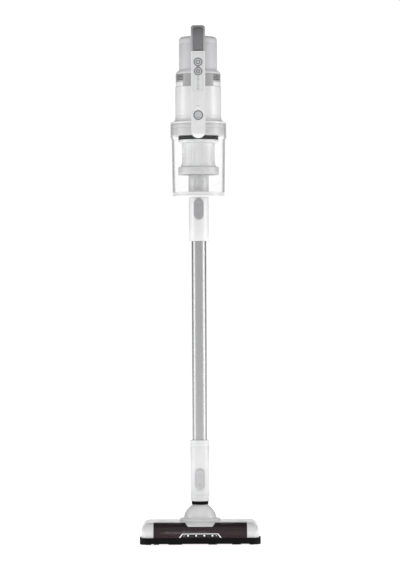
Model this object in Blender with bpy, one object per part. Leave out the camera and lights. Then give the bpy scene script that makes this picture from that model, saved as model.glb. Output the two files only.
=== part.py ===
"""Cordless stick vacuum cleaner, standing upright on its floor head.

Metres, +Z up, +X to the right seen from the front, and the front faces -Y.
Every Y below is measured from the wand's own axis; the empty WAND_LINE shifts the whole
object so that the origin is the bottom centre of its box.
"""

import math

import bmesh
import bpy
from mathutils import Matrix

# ---------------------------------------------------------------- driving dimensions
CLEAR = 0.0003  # gap between pieces that touch or fit
ROUND_STEPS = 32  # sides of the large round pieces
SMALL_STEPS = 16  # sides of pins, rollers and buttons

# floor head
HEAD_WIDTH = 0.254
NOSE_GAP = 0.0113
TAIL_DEPTH = 0.0052
DECK_GAP = 0.0070
DECK_REAR = 0.012
COVER_WALL = 0.0022
COVER_LOW = 0.0135
END_ROUND = 0.019
SOLE_Z = 0.003
BASE_FLOOR = 0.0048
BUMPER_THICK = 0.0030
BUMPER_TOP = 0.0157
BUMPER_REACH = 0.045
NOSE_MARGIN = 0.0175
WINDOW_WIDTH = 0.2005
WINDOW_SPAN = 0.0100
WINDOW_THICK = 0.0020
HEADLIGHT_WIDTH = 0.091
HEADLIGHT_TOP_WIDTH = 0.077
REAR_WHEEL_RADIUS = 0.0105
REAR_WHEEL_WIDTH = 0.009
REAR_WHEEL_X = 0.095
REAR_WHEEL_Y = 0.0262
ROLLER_RADIUS = 0.0050
ROLLER_WIDTH = 0.0085
ROLLER_X = 0.1120
ROLLER_SETBACK = 0.0096

# brush drive
BRUSH_LENGTH = 0.2060
BRUSH_RADIUS = 0.0195
BRUSH_CORE_RADIUS = 0.0108
BRUSH_GAP = 0.0013
BRUSH_LIFT = 0.0010
BRUSH_SHAFT_RADIUS = 0.0022
BRUSH_RIDGES = 5
CHAMBER_WALL = 0.0016
CHAMBER_CLEARANCE = 0.0018
BELT_WIDTH = 0.0050
BELT_THICK = 0.0012
BRUSH_PULLEY_RADIUS = 0.0085
MOTOR_PULLEY_RADIUS = 0.0055
BRUSH_MOTOR_RADIUS = 0.0125
BRUSH_MOTOR_LENGTH = 0.048
BRUSH_MOTOR_Y = -0.0215

# swivel neck
BALL_RADIUS = 0.036
BALL_WALL = 0.0035
BALL_LIFT = 0.0042
RING_WALL = 0.0030
RING_HEIGHT = 0.0080
SOCKET_WALL = 0.0035
SOCKET_RISE = 0.0035
PIN_RADIUS = 0.0020
TILT_FAN_LOW = 0.0290
SPIGOT_RADIUS = 0.0183
SPIGOT_WALL = 0.0022
SPIGOT_LENGTH = 0.048
COLLAR_RADIUS = 0.0210
COLLAR_RISE = 0.0047
COLLAR_HEIGHT = 0.0135
SEAL_RADIUS = 0.0185

# wand
TUBE_RADIUS = 0.0160
TUBE_WALL = 0.0011
TUBE_VISIBLE = 0.4338
TUBE_INSERT = 0.0300
LOWER_SLEEVE_RADIUS = 0.0212
LOWER_SLEEVE_LENGTH = 0.1187
UPPER_SLEEVE_RADIUS = 0.0218
UPPER_SLEEVE_LENGTH = 0.0947
PILL_WIDTH = 0.0200
PILL_HEIGHT = 0.0444
PILL_PROUD = 0.0026
LOWER_PILL_RISE = 0.0119
UPPER_PILL_DROP = 0.0028

# dust cup and cyclone
CUP_BASE_RADIUS = 0.0565
CUP_BASE_HEIGHT = 0.0107
CUP_LOW_RADIUS = 0.0567
CUP_HIGH_RADIUS = 0.0583
CUP_BAND_RADIUS = 0.0610
CUP_BAND_HEIGHT = 0.0320
CUP_HEIGHT = 0.1483
CUP_WALL = 0.0020
INLET_RADIUS = 0.0220
INLET_HEIGHT = 0.0429
SKIRT_RADIUS = 0.0443
SKIRT_HEIGHT = 0.0173
SCREEN_RADIUS = 0.0358
SCREEN_HEIGHT = 0.0517
CYCLONE_PLATE_HEIGHT = 0.0064
FILTER_SEAL_HEIGHT = 0.0078
THIN_WALL = 0.0018
AIR_HOLE_RADIUS = 0.0300

# motor unit
MOTOR_HOUSING_RADIUS = 0.0503
MOTOR_HOUSING_HEIGHT = 0.0808
SHOULDER_HEIGHT = 0.0104
RIM_HEIGHT = 0.0037
VENT_RING_RADIUS = 0.0490
VENT_RING_HEIGHT = 0.0273
TOP_COLLAR_HEIGHT = 0.0089
SHELL_WALL = 0.0022
SUCTION_MOTOR_RADIUS = 0.0270
SUCTION_MOTOR_HEIGHT = 0.0420
IMPELLER_RADIUS = 0.0235
BATTERY_RADIUS = 0.0415
BATTERY_HEIGHT = 0.0722
BATTERY_INSERT = 0.0290
BATTERY_ROUND = 0.0080
CELL_RADIUS = 0.0091
CELL_LENGTH = 0.0650

# handle
HANDLE_WIDTH = 0.0304
HANDLE_REACH = 0.1120
HANDLE_TIP_DROP = 0.0356
HANDLE_RISE = 0.0183
GRIP_LENGTH = 0.0580
BAR_DEPTH = 0.0225
SPINE_FRONT = 0.0585
FINGER_GAP_RISE = 0.0464
HANDLE_TOP_BAR = 0.0215
HANDLE_EDGE = 0.0040
PANEL_WIDTH = 0.0225
PANEL_REACH = 0.0840
PANEL_THICK = 0.0014
POCKET_DEPTH = 0.0080
POWER_DROP = 0.0233
POWER_RADIUS = 0.0076
MODE_DROP = 0.0432
MODE_RADIUS = 0.0072
CUP_BUTTON_RISE = 0.0132
CUP_BUTTON_RADIUS = 0.0088
BUTTON_PROUD = 0.0006

# ---------------------------------------------------------------- places that follow
RING_INNER = BALL_RADIUS + CLEAR
RING_OUTER = RING_INNER + RING_WALL
SOCKET_INNER = math.hypot(RING_OUTER, RING_HEIGHT / 2) + 0.0008
SOCKET_OUTER = SOCKET_INNER + SOCKET_WALL
BALL_Z = SOLE_Z + BASE_FLOOR + BALL_LIFT + BALL_RADIUS
SOCKET_TOP = BALL_Z + SOCKET_RISE
CHAMBER_INNER = BRUSH_RADIUS + CHAMBER_CLEARANCE
BRUSH_Y = -(SOCKET_OUTER + BRUSH_GAP + CHAMBER_INNER + CHAMBER_WALL)
BRUSH_Z = BRUSH_RADIUS + BRUSH_LIFT
HEAD_FRONT = BRUSH_Y - BRUSH_RADIUS - NOSE_GAP
HEAD_REAR = SOCKET_OUTER + TAIL_DEPTH
DECK_Z = BRUSH_Z + BRUSH_RADIUS + DECK_GAP
NOSE_RADIUS = BRUSH_RADIUS + NOSE_MARGIN
WINDOW_REAR = BRUSH_Y + WINDOW_SPAN
ROLLER_Y = HEAD_FRONT + ROLLER_SETBACK
COLLAR_LOW = BALL_Z + BALL_RADIUS + COLLAR_RISE
COLLAR_TOP = COLLAR_LOW + COLLAR_HEIGHT
LOWER_SLEEVE_Z = COLLAR_TOP + CLEAR
TUBE_SEEN_LOW = LOWER_SLEEVE_Z + LOWER_SLEEVE_LENGTH
TUBE_SEEN_HIGH = TUBE_SEEN_LOW + TUBE_VISIBLE
UPPER_SLEEVE_Z = TUBE_SEEN_HIGH
UPPER_SLEEVE_TOP = UPPER_SLEEVE_Z + UPPER_SLEEVE_LENGTH
CUP_BASE_Z = UPPER_SLEEVE_TOP + CLEAR
CUP_Z = CUP_BASE_Z + CUP_BASE_HEIGHT + CLEAR
CUP_TOP = CUP_Z + CUP_HEIGHT
UNIT_Z = CUP_TOP + CLEAR
VENT_Z = UNIT_Z + MOTOR_HOUSING_HEIGHT + CLEAR
TOP_COLLAR_Z = VENT_Z + VENT_RING_HEIGHT + CLEAR
TOP_COLLAR_TOP = TOP_COLLAR_Z + TOP_COLLAR_HEIGHT
BATTERY_Z = TOP_COLLAR_TOP + CLEAR
BATTERY_TOP = BATTERY_Z + BATTERY_HEIGHT
BATTERY_NECK_RADIUS = BATTERY_RADIUS - 0.0030
BORE_RADIUS = SPIGOT_RADIUS + CLEAR
HANDLE_TIP_Z = UNIT_Z - HANDLE_TIP_DROP
HANDLE_TOP_Z = BATTERY_TOP + HANDLE_RISE
GRIP_LOW_Z = HANDLE_TOP_Z - GRIP_LENGTH
FINGER_LOW_Z = UNIT_Z + FINGER_GAP_RISE
FINGER_HIGH_Z = HANDLE_TOP_Z - HANDLE_TOP_BAR
PANEL_LOW_Z = GRIP_LOW_Z - PANEL_REACH
POWER_Z = GRIP_LOW_Z - POWER_DROP
MODE_Z = GRIP_LOW_Z - MODE_DROP
CUP_BUTTON_Z = UNIT_Z + CUP_BUTTON_RISE
FRONT_REACH = max(HANDLE_REACH + BUTTON_PROUD, BUMPER_THICK + CLEAR - HEAD_FRONT)
REAR_REACH = max(CUP_BAND_RADIUS, HEAD_REAR)
AXIS_Y = (FRONT_REACH - REAR_REACH) / 2

for item in list(bpy.data.objects):
    bpy.data.objects.remove(item, do_unlink=True)

WAND_LINE = bpy.data.objects.new("wand_line", None)
WAND_LINE.location = (0, AXIS_Y, 0)
bpy.context.scene.collection.objects.link(WAND_LINE)


# ---------------------------------------------------------------- materials
def finish(name, colour, roughness, metallic=0.0, alpha=1.0):
    """A Principled material of one plain finish."""
    made = bpy.data.materials.new(name)
    made.use_nodes = True
    shader = made.node_tree.nodes["Principled BSDF"]
    shader.inputs["Base Color"].default_value = (*colour, 1.0)
    shader.inputs["Roughness"].default_value = roughness
    shader.inputs["Metallic"].default_value = metallic
    shader.inputs["Alpha"].default_value = alpha
    return made


WHITE = finish("white_plastic", (0.86, 0.86, 0.86), 0.25)
BATTERY_WHITE = finish("battery_plastic", (0.78, 0.78, 0.79), 0.4)
GREY = finish("grey_plastic", (0.35, 0.35, 0.36), 0.4)
SOFT_GREY = finish("soft_grip", (0.30, 0.30, 0.31), 0.6)
BLACK = finish("black_plastic", (0.02, 0.02, 0.02), 0.5)
RUBBER = finish("black_rubber", (0.03, 0.03, 0.03), 0.8)
CLEAR_PLASTIC = finish("clear_plastic", (0.9, 0.9, 0.9), 0.05, alpha=0.3)
SMOKED = finish("smoked_plastic", (0.08, 0.05, 0.06), 0.05, alpha=0.6)
ALUMINIUM = finish("satin_aluminium", (0.60, 0.60, 0.61), 0.35, metallic=1.0)
STEEL = finish("steel", (0.55, 0.55, 0.56), 0.3, metallic=1.0)
FLEECE = finish("burgundy_fleece", (0.16, 0.03, 0.05), 0.95)
GREEN = finish("circuit_board", (0.03, 0.20, 0.08), 0.5)
PAPER = finish("filter_paper", (0.80, 0.79, 0.75), 0.9)


# ---------------------------------------------------------------- shape tools
def turned(profile, steps=ROUND_STEPS):
    """A closed (radius, height) profile turned about the Z axis."""
    shape = bmesh.new()
    rings = []
    for radius, height in profile:
        if radius < 1e-6:
            rings.append([shape.verts.new((0, 0, height))] * steps)
            continue
        turns = [math.tau * step / steps for step in range(steps)]
        rings.append([shape.verts.new((radius * math.cos(a), radius * math.sin(a), height)) for a in turns])
    for index, low in enumerate(rings):
        high = rings[(index + 1) % len(rings)]
        for step in range(steps):
            after = (step + 1) % steps
            corners = list(dict.fromkeys([low[step], low[after], high[after], high[step]]))
            if len(corners) > 2:
                shape.faces.new(corners)
    bmesh.ops.recalc_face_normals(shape, faces=shape.faces)
    return shape


def on_axis(flat, height, axis):
    """A point of a flat outline, lifted by height along the named axis."""
    first, second = flat
    return {"X": (height, first, second), "Y": (first, height, second), "Z": (first, second, height)}[axis]


def prism(outline, low, high, axis):
    """A flat outline carried along X (y, z), Y (x, z) or Z (x, y) from low to high."""
    shape = bmesh.new()
    near = [shape.verts.new(on_axis(point, low, axis)) for point in outline]
    far = [shape.verts.new(on_axis(point, high, axis)) for point in outline]
    shape.faces.new(near)
    shape.faces.new(far)
    for index in range(len(outline)):
        after = (index + 1) % len(outline)
        shape.faces.new((near[index], near[after], far[after], far[index]))
    bmesh.ops.recalc_face_normals(shape, faces=shape.faces)
    return shape


def block(x_span, y_span, z_span):
    """A plain box between pairs of limits."""
    corners = [(x_span[0], y_span[0]), (x_span[1], y_span[0]), (x_span[1], y_span[1]), (x_span[0], y_span[1])]
    return prism(corners, z_span[0], z_span[1], "Z")


def arc(centre, radius, start, end, steps):
    """Points of a circle's arc, with angles in degrees from the first coordinate's axis."""
    points = []
    for step in range(steps + 1):
        turn = math.radians(start + (end - start) * step / steps)
        points.append((centre[0] + radius * math.cos(turn), centre[1] + radius * math.sin(turn)))
    return points


def pill(centre_z, width, height, grow=0.0):
    """Upright pill outline in X and Z."""
    radius = width / 2 + grow
    run = (height - width) / 2
    upper = arc((0, centre_z + run), radius, 0, 180, 8)
    lower = arc((0, centre_z - run), radius, 180, 360, 8)
    return upper + lower


def tube(outer, wall, low, high):
    """Profile of a plain tube."""
    return [(outer - wall, low), (outer, low), (outer, high), (outer - wall, high)]


def place(name, shape, surface, at=(0, 0, 0), axis="Z"):
    """Turn a shape into a named object on the wand line, its own Z laid along the named axis."""
    turn = {"Z": Matrix(), "X": Matrix.Rotation(math.pi / 2, 4, "Y"), "Y": Matrix.Rotation(-math.pi / 2, 4, "X")}
    shape.transform(turn[axis])
    mesh = bpy.data.meshes.new(name)
    shape.to_mesh(mesh)
    shape.free()
    mesh.shade_smooth()
    mesh.set_sharp_from_angle(angle=math.radians(35))
    mesh.materials.append(surface)
    made = bpy.data.objects.new(name, mesh)
    made.location = at
    made.parent = WAND_LINE
    bpy.context.scene.collection.objects.link(made)
    return made


def tool(name, shape, at=(0, 0, 0), axis="Z"):
    """A cutter: an object that shapes others and isn't a piece."""
    made = place(name, shape, GREY, at, axis)
    made.hide_render = True
    made.display_type = "WIRE"
    return made


def boolean(piece, operation, *others):
    """Cut, keep or join other objects, in order."""
    for other in others:
        change = piece.modifiers.new(f"{operation.lower()}_{other.name}", "BOOLEAN")
        change.operation = operation
        change.object = other
    return piece


# ---------------------------------------------------------------- floor head shells
NOSE_Y = HEAD_FRONT + NOSE_RADIUS - 0.0005
NOSE_Z = DECK_Z - 0.0025 - NOSE_RADIUS


def head_side(inset, low):
    """Side outline of the head's cover: round nose, level deck and rounded tail."""
    nose = NOSE_RADIUS - inset
    start = 180 - math.degrees(math.asin((COVER_LOW - NOSE_Z) / NOSE_RADIUS))
    outline = [(NOSE_Y + nose * math.cos(math.radians(start)), low)]
    outline += arc((NOSE_Y, NOSE_Z), nose, start, 88, 10)
    outline += [(-0.030, DECK_Z - inset), (DECK_REAR, DECK_Z - inset)]
    for step in range(1, 7):
        turn = math.radians(90 * step / 6)
        across = DECK_REAR + (HEAD_REAR - inset - DECK_REAR) * math.sin(turn)
        outline.append((across, COVER_LOW + (DECK_Z - inset - COVER_LOW) * math.cos(turn)))
    outline.append((HEAD_REAR - inset, low))
    return outline


def head_front(inset, low):
    """Front outline of the cover: a low box with large round shoulders."""
    half = HEAD_WIDTH / 2 - inset
    radius = END_ROUND - inset
    top = DECK_Z - inset
    right = arc((half - radius, top - radius), radius, 0, 90, 6)
    left = [(-x, z) for x, z in reversed(right)]
    return [(-half, low), (half, low)] + right + left


def head_plan(inset):
    """Plan outline of the head, with rounded corners."""
    half = HEAD_WIDTH / 2 - inset
    radius = 0.016 - inset
    front = arc((half - radius, HEAD_FRONT + inset + radius), radius, -90, 0, 4)
    rear = arc((half - radius, HEAD_REAR - inset - radius), radius, 0, 90, 4)
    right = front + rear
    return right + [(-x, y) for x, y in reversed(right)]


def head_body(name, inset, low, make, surface=None):
    """The cover's outer form, or the hollow inside it."""
    half = HEAD_WIDTH / 2
    shell = make(name, prism(head_side(inset, low), -half, half, "X"), *([surface] if surface else []))
    front = tool(f"{name}_front", prism(head_front(inset, low - 0.001), -0.2, 0.2, "Y"))
    plan = tool(f"{name}_plan", prism(head_plan(inset), low - 0.002, DECK_Z + 0.01, "Z"))
    return boolean(shell, "INTERSECT", front, plan)


TILT_FAN = [(-0.030, 0.002), (0.030, 0.002), (0.090, 0.0565), (-0.090, 0.0565)]
fan_cut = tool("tilt_fan", prism(TILT_FAN, TILT_FAN_LOW, DECK_Z + 0.03, "Z"))

head_cover = head_body("head_cover", 0, COVER_LOW, place, WHITE)
cover_hollow = head_body("cover_hollow", COVER_WALL, COVER_LOW - 0.005, tool)
half_window = WINDOW_WIDTH / 2
window_hole = block((-half_window - CLEAR, half_window + CLEAR), (-0.13, WINDOW_REAR + CLEAR), (0, 0.07))
window_cut = tool("window_cut", window_hole)
socket_cut = tool("socket_cut", turned([(0, 0), (SOCKET_OUTER + CLEAR, 0), (SOCKET_OUTER + CLEAR, 0.08), (0, 0.08)]))
SLIDER_X = 0.0915
SLIDER_Y = -0.040
slot = block((SLIDER_X - 0.009, SLIDER_X + 0.009), (SLIDER_Y - 0.0025, SLIDER_Y + 0.0025), (0.03, 0.06))
slider_cut = tool("slider_cut", slot)
boolean(head_cover, "DIFFERENCE", cover_hollow, window_cut, socket_cut, fan_cut, slider_cut)

start = 180 - math.degrees(math.asin((BUMPER_TOP - NOSE_Z) / NOSE_RADIUS))
end = math.degrees(math.acos((WINDOW_REAR - NOSE_Y) / NOSE_RADIUS))
pane = arc((NOSE_Y, NOSE_Z), NOSE_RADIUS, start, end, 12)
pane += arc((NOSE_Y, NOSE_Z), NOSE_RADIUS - WINDOW_THICK, end, start, 12)
place("brush_window", prism(pane, -half_window, half_window, "X"), SMOKED)

slide_top = block((-0.0040, 0.0040), (-0.0020, 0.0020), (0, DECK_Z + 0.0005 - 0.0410))
place("brush_release_slider", slide_top, GREY, (SLIDER_X - 0.003, SLIDER_Y, 0.0410))

# base tray, with a slot for the brush, wells for the wheels and pockets for the drive
BASE_TOP = COVER_LOW - CLEAR
head_base = place("head_base", prism(head_plan(0.0003), SOLE_Z, BASE_TOP, "Z"), BLACK)
floor_top = SOLE_Z + BASE_FLOOR
slot_half = BRUSH_LENGTH / 2 + 0.0008
slot_front = BRUSH_Y - BRUSH_RADIUS - 0.0020
slot_rear = BRUSH_Y + BRUSH_RADIUS + 0.0020
brush_slot = tool("brush_slot", block((-slot_half, slot_half), (slot_front, slot_rear), (0, 0.03)))
pocket_reach = SOCKET_OUTER + CLEAR
middle_pocket = tool("middle_pocket", block((-0.080, 0.080), (-pocket_reach, pocket_reach), (floor_top, 0.03)))
motor_room = (BRUSH_MOTOR_Y - 0.0210, BRUSH_MOTOR_Y + 0.0175)
motor_pocket = tool("motor_pocket", block((0.070, 0.1240), motor_room, (floor_top, 0.03)))
belt_room = (BRUSH_Y - BRUSH_PULLEY_RADIUS - BELT_THICK - CLEAR - 0.0015, BRUSH_MOTOR_Y + 0.0115)
belt_pocket = tool("belt_pocket", block((slot_half + 0.0025, 0.1240), belt_room, (floor_top, 0.03)))
boolean(head_base, "DIFFERENCE", brush_slot, middle_pocket, motor_pocket, belt_pocket)


def rolling(name, x, y, radius, width, axle_radius, surface):
    """A wheel or roller moulded with its stub axles, in a well with two bearing holes."""
    half = width / 2
    reach = half + 0.0028
    edge = min(0.0012, radius / 5)
    profile = [(0, -reach), (axle_radius, -reach), (axle_radius, -half), (radius - edge, -half)]
    profile += [(radius, -half + edge), (radius, half - edge), (radius - edge, half)]
    profile += [(axle_radius, half), (axle_radius, reach), (0, reach)]
    place(name, turned(profile, SMALL_STEPS), surface, (x, y, radius), "X")
    room = 0.0010
    well = block((x - half - room, x + half + room), (y - radius - room, y + radius + room), (0, 0.04))
    hole = turned([(0, -reach - CLEAR), (axle_radius + CLEAR, -reach - CLEAR),
                   (axle_radius + CLEAR, reach + CLEAR), (0, reach + CLEAR)], SMALL_STEPS)
    bearing = tool(f"{name}_bearing", hole, (x, y, radius), "X")
    boolean(head_base, "DIFFERENCE", tool(f"{name}_well", well), bearing)


for side, sign in (("left", -1), ("right", 1)):
    rolling(f"rear_wheel_{side}", sign * REAR_WHEEL_X, REAR_WHEEL_Y, REAR_WHEEL_RADIUS, REAR_WHEEL_WIDTH,
            0.0018, RUBBER)
    rolling(f"front_roller_{side}", sign * ROLLER_X, ROLLER_Y, ROLLER_RADIUS, ROLLER_WIDTH, 0.0012, GREY)

# bumper strip around the front and the front corners
bumper = place("front_bumper", prism(head_plan(-BUMPER_THICK - CLEAR), SOLE_Z - 0.0010, BUMPER_TOP, "Z"), RUBBER)
bumper_inside = tool("bumper_inside", prism(head_plan(-CLEAR), 0, 0.05, "Z"))
bumper_end = HEAD_FRONT + BUMPER_REACH
bumper_rear = tool("bumper_rear", block((-0.2, 0.2), (bumper_end, 0.1), (-0.01, 0.05)))
boolean(bumper, "DIFFERENCE", bumper_inside, bumper_rear)

# headlight bar behind the window, with one lens strip over its lamps
lamp_front = HEAD_FRONT + 0.0063
lamp_back = lamp_front + 0.0047
lamp_foot = BASE_TOP + CLEAR
lamp_top = 0.0253
lamp_side = [(lamp_front, lamp_foot), (lamp_front, BUMPER_TOP + 0.0010), (lamp_front + 0.0020, lamp_top)]
lamp_side += [(lamp_back, lamp_top), (lamp_back, lamp_foot)]
half_lamp = HEADLIGHT_WIDTH / 2
lamp_view = [(-half_lamp, 0), (half_lamp, 0), (half_lamp, BUMPER_TOP + 0.0010)]
lamp_view += [(HEADLIGHT_TOP_WIDTH / 2, lamp_top), (HEADLIGHT_TOP_WIDTH / 2, 0.03)]
lamp_view += [(-HEADLIGHT_TOP_WIDTH / 2, 0.03), (-HEADLIGHT_TOP_WIDTH / 2, lamp_top), (-half_lamp, BUMPER_TOP + 0.0010)]
headlight_bar = place("headlight_bar", prism(lamp_side, -half_lamp, half_lamp, "X"), BLACK)
boolean(headlight_bar, "INTERSECT", tool("lamp_outline", prism(lamp_view, -0.2, 0.2, "Y")))
lens_side = [(lamp_front - 0.0004, 0.0186), (lamp_front + 0.0009, 0.0232), (lamp_front + 0.0001, 0.0232)]
lens_side += [(lamp_front - 0.0012, 0.0186)]
half_lens = HEADLIGHT_TOP_WIDTH / 2 - 0.004
place("headlight_lens", prism(lens_side, -half_lens, half_lens, "X"), CLEAR_PLASTIC)

# ---------------------------------------------------------------- brush and its drive
low_angle = math.degrees(math.asin((BASE_TOP + CLEAR - BRUSH_Z) / CHAMBER_INNER))
trough = arc((BRUSH_Y, BRUSH_Z), CHAMBER_INNER, low_angle + 2, 62, 8)
trough += arc((BRUSH_Y, BRUSH_Z), CHAMBER_INNER + CHAMBER_WALL, 62, low_angle + 2, 8)
chamber = place("brush_chamber", prism(trough, -slot_half, slot_half, "X"), BLACK)
air_way = tool("air_way", block((-0.020, 0.020), (BRUSH_Y, 0), (0.0185, 0.0330)))
boolean(chamber, "DIFFERENCE", air_way)

cheek_z = BASE_TOP + CLEAR
cheek_top = BRUSH_Z + 0.0115
cheek_outline = [(BRUSH_Y - 0.012, cheek_z), (BRUSH_Y + CHAMBER_INNER + 0.0012, cheek_z)]
cheek_outline += [(BRUSH_Y + CHAMBER_INNER - 0.0013, cheek_top), (BRUSH_Y - 0.004, cheek_top)]
PLATE_THICK = 0.0024
BEARING_RADIUS = 0.0048
for side, sign in (("left", -1), ("right", 1)):
    inner = sign * (slot_half - 0.0004)
    outer = sign * (slot_half + PLATE_THICK)
    cheek = tool(f"bearing_plate_{side}", prism(cheek_outline, min(inner, outer), max(inner, outer), "X"))
    boolean(chamber, "UNION", cheek)
    bore = turned([(0, -0.01), (BEARING_RADIUS + CLEAR, -0.01), (BEARING_RADIUS + CLEAR, 0.01), (0, 0.01)], SMALL_STEPS)
    boolean(chamber, "DIFFERENCE", tool(f"bearing_bore_{side}", bore, (inner, BRUSH_Y, BRUSH_Z), "X"))
    race = turned(tube(BEARING_RADIUS, BEARING_RADIUS - BRUSH_SHAFT_RADIUS - CLEAR, -0.0010, 0.0010), SMALL_STEPS)
    bearing_x = sign * (slot_half + PLATE_THICK / 2)
    place(f"brush_bearing_{side}", race, STEEL, (bearing_x, BRUSH_Y, BRUSH_Z), "X")

PULLEY_X = slot_half + PLATE_THICK + 0.0012
half_brush = BRUSH_LENGTH / 2
shaft = BRUSH_SHAFT_RADIUS
core = [(0, -half_brush - 0.0035), (shaft, -half_brush - 0.0035), (shaft, -half_brush)]
core += [(BRUSH_CORE_RADIUS, -half_brush), (BRUSH_CORE_RADIUS, half_brush), (shaft, half_brush), (shaft, PULLEY_X)]
core += [(BRUSH_PULLEY_RADIUS, PULLEY_X), (BRUSH_PULLEY_RADIUS, PULLEY_X + BELT_WIDTH)]
core += [(0, PULLEY_X + BELT_WIDTH)]
place("brush_core", turned(core, SMALL_STEPS), BLACK, (0, BRUSH_Y, BRUSH_Z), "X")

# fleece sleeve whose ridges step round the core in a chevron
fleece = bmesh.new()
FLEECE_STEPS = BRUSH_RIDGES * 4
FLEECE_SLICES = 8
fleece_half = half_brush - CLEAR
slices = []
for index in range(FLEECE_SLICES + 1):
    across = -fleece_half + 2 * fleece_half * index / FLEECE_SLICES
    outer_ring = []
    inner_ring = []
    for step in range(FLEECE_STEPS):
        turn = math.tau * step / FLEECE_STEPS
        on_ridge = (step + abs(index - FLEECE_SLICES // 2)) % 4 < 2
        radius = BRUSH_RADIUS if on_ridge else BRUSH_RADIUS - 0.0040
        outer_ring.append(fleece.verts.new((across, radius * math.cos(turn), radius * math.sin(turn))))
        bore = BRUSH_CORE_RADIUS + CLEAR
        inner_ring.append(fleece.verts.new((across, bore * math.cos(turn), bore * math.sin(turn))))
    slices.append((outer_ring, inner_ring))
for index in range(FLEECE_SLICES):
    for layer in (0, 1):
        near = slices[index][layer]
        far = slices[index + 1][layer]
        for step in range(FLEECE_STEPS):
            after = (step + 1) % FLEECE_STEPS
            fleece.faces.new((near[step], near[after], far[after], far[step]))
for outer_ring, inner_ring in (slices[0], slices[-1]):
    for step in range(FLEECE_STEPS):
        after = (step + 1) % FLEECE_STEPS
        fleece.faces.new((outer_ring[step], outer_ring[after], inner_ring[after], inner_ring[step]))
bmesh.ops.recalc_face_normals(fleece, faces=fleece.faces)
place("brush_fleece", fleece, FLEECE, (0, BRUSH_Y, BRUSH_Z))

MOTOR_Z = floor_top + CLEAR + BRUSH_MOTOR_RADIUS
motor_x = PULLEY_X - 0.0020 - BRUSH_MOTOR_LENGTH
motor = [(0, 0), (BRUSH_MOTOR_RADIUS - 0.001, 0), (BRUSH_MOTOR_RADIUS, 0.001)]
motor += [(BRUSH_MOTOR_RADIUS, BRUSH_MOTOR_LENGTH - 0.001), (BRUSH_MOTOR_RADIUS - 0.001, BRUSH_MOTOR_LENGTH)]
motor += [(0, BRUSH_MOTOR_LENGTH)]
place("brush_motor", turned(motor, SMALL_STEPS), STEEL, (motor_x, BRUSH_MOTOR_Y, MOTOR_Z), "X")
pinion = [(0, 0.0003), (0.0016, 0.0003), (0.0016, 0.0020), (MOTOR_PULLEY_RADIUS, 0.0020)]
pinion += [(MOTOR_PULLEY_RADIUS, 0.0020 + BELT_WIDTH), (0, 0.0020 + BELT_WIDTH)]
place("motor_pulley", turned(pinion, SMALL_STEPS), STEEL, (PULLEY_X - 0.0020, BRUSH_MOTOR_Y, MOTOR_Z), "X")


def belt_run(grow):
    """Side outline of a belt drawn tight over both pulleys."""
    first = (BRUSH_Y, BRUSH_Z)
    second = (BRUSH_MOTOR_Y, MOTOR_Z)
    lean = math.degrees(math.atan2(second[1] - first[1], second[0] - first[0]))
    apart = math.dist(first, second)
    wrap = math.degrees(math.acos((BRUSH_PULLEY_RADIUS - MOTOR_PULLEY_RADIUS) / apart))
    large = arc(first, BRUSH_PULLEY_RADIUS + grow, lean + wrap, lean + 360 - wrap, 12)
    small = arc(second, MOTOR_PULLEY_RADIUS + grow, lean - wrap, lean + wrap, 8)
    return large + small


belt_low = PULLEY_X + 0.0002
belt_high = PULLEY_X + BELT_WIDTH - 0.0002
belt = place("drive_belt", prism(belt_run(CLEAR + BELT_THICK), belt_low, belt_high, "X"), RUBBER)
boolean(belt, "DIFFERENCE", tool("belt_inside", prism(belt_run(CLEAR), 0.05, 0.2, "X")))

# ---------------------------------------------------------------- swivel neck
socket_low = floor_top + CLEAR
socket = tube(SOCKET_OUTER, SOCKET_WALL, socket_low, SOCKET_TOP)
socket[2:3] = [(SOCKET_OUTER, SOCKET_TOP - 0.0015), (SOCKET_OUTER - 0.0012, SOCKET_TOP)]
swivel_socket = place("swivel_socket", turned(socket), WHITE)
pin_hole = [(0, -0.06), (PIN_RADIUS + CLEAR, -0.06), (PIN_RADIUS + CLEAR, 0.06), (0, 0.06)]
pitch_bore = tool("pitch_bore", turned(pin_hole, 16), (0, 0, BALL_Z), "X")
roll_bore = tool("roll_bore", turned(pin_hole, 16), (0, 0, BALL_Z), "Y")
socket_air = tool("socket_air", block((-0.020, 0.020), (-0.06, -0.02), (0.0185, 0.0330)))
boolean(swivel_socket, "DIFFERENCE", fan_cut, pitch_bore, socket_air)

ring = turned(tube(RING_OUTER, RING_OUTER - RING_INNER, -RING_HEIGHT / 2, RING_HEIGHT / 2))
swivel_ring = place("swivel_ring", ring, WHITE, (0, 0, BALL_Z))
boolean(swivel_ring, "DIFFERENCE", pitch_bore, roll_bore)
pitch_pin = [(0, RING_INNER + 0.0005), (PIN_RADIUS, RING_INNER + 0.0005)]
pitch_pin += [(PIN_RADIUS, SOCKET_OUTER - 0.0005), (0, SOCKET_OUTER - 0.0005)]
for end_name, turn in (("left", math.pi), ("right", 0)):
    pin = turned(pitch_pin, 16)
    pin.transform(Matrix.Rotation(turn, 4, "X"))
    place(f"pitch_pin_{end_name}", pin, STEEL, (0, 0, BALL_Z), "X")


def polar(radius, opening_low, opening_high, steps):
    """Half profile of a ball between two openings of given radius."""
    start_angle = -math.acos(opening_low / radius)
    end_angle = math.acos(opening_high / radius)
    turns = [start_angle + (end_angle - start_angle) * step / steps for step in range(steps + 1)]
    return [(radius * math.cos(turn), radius * math.sin(turn)) for turn in turns]


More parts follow.
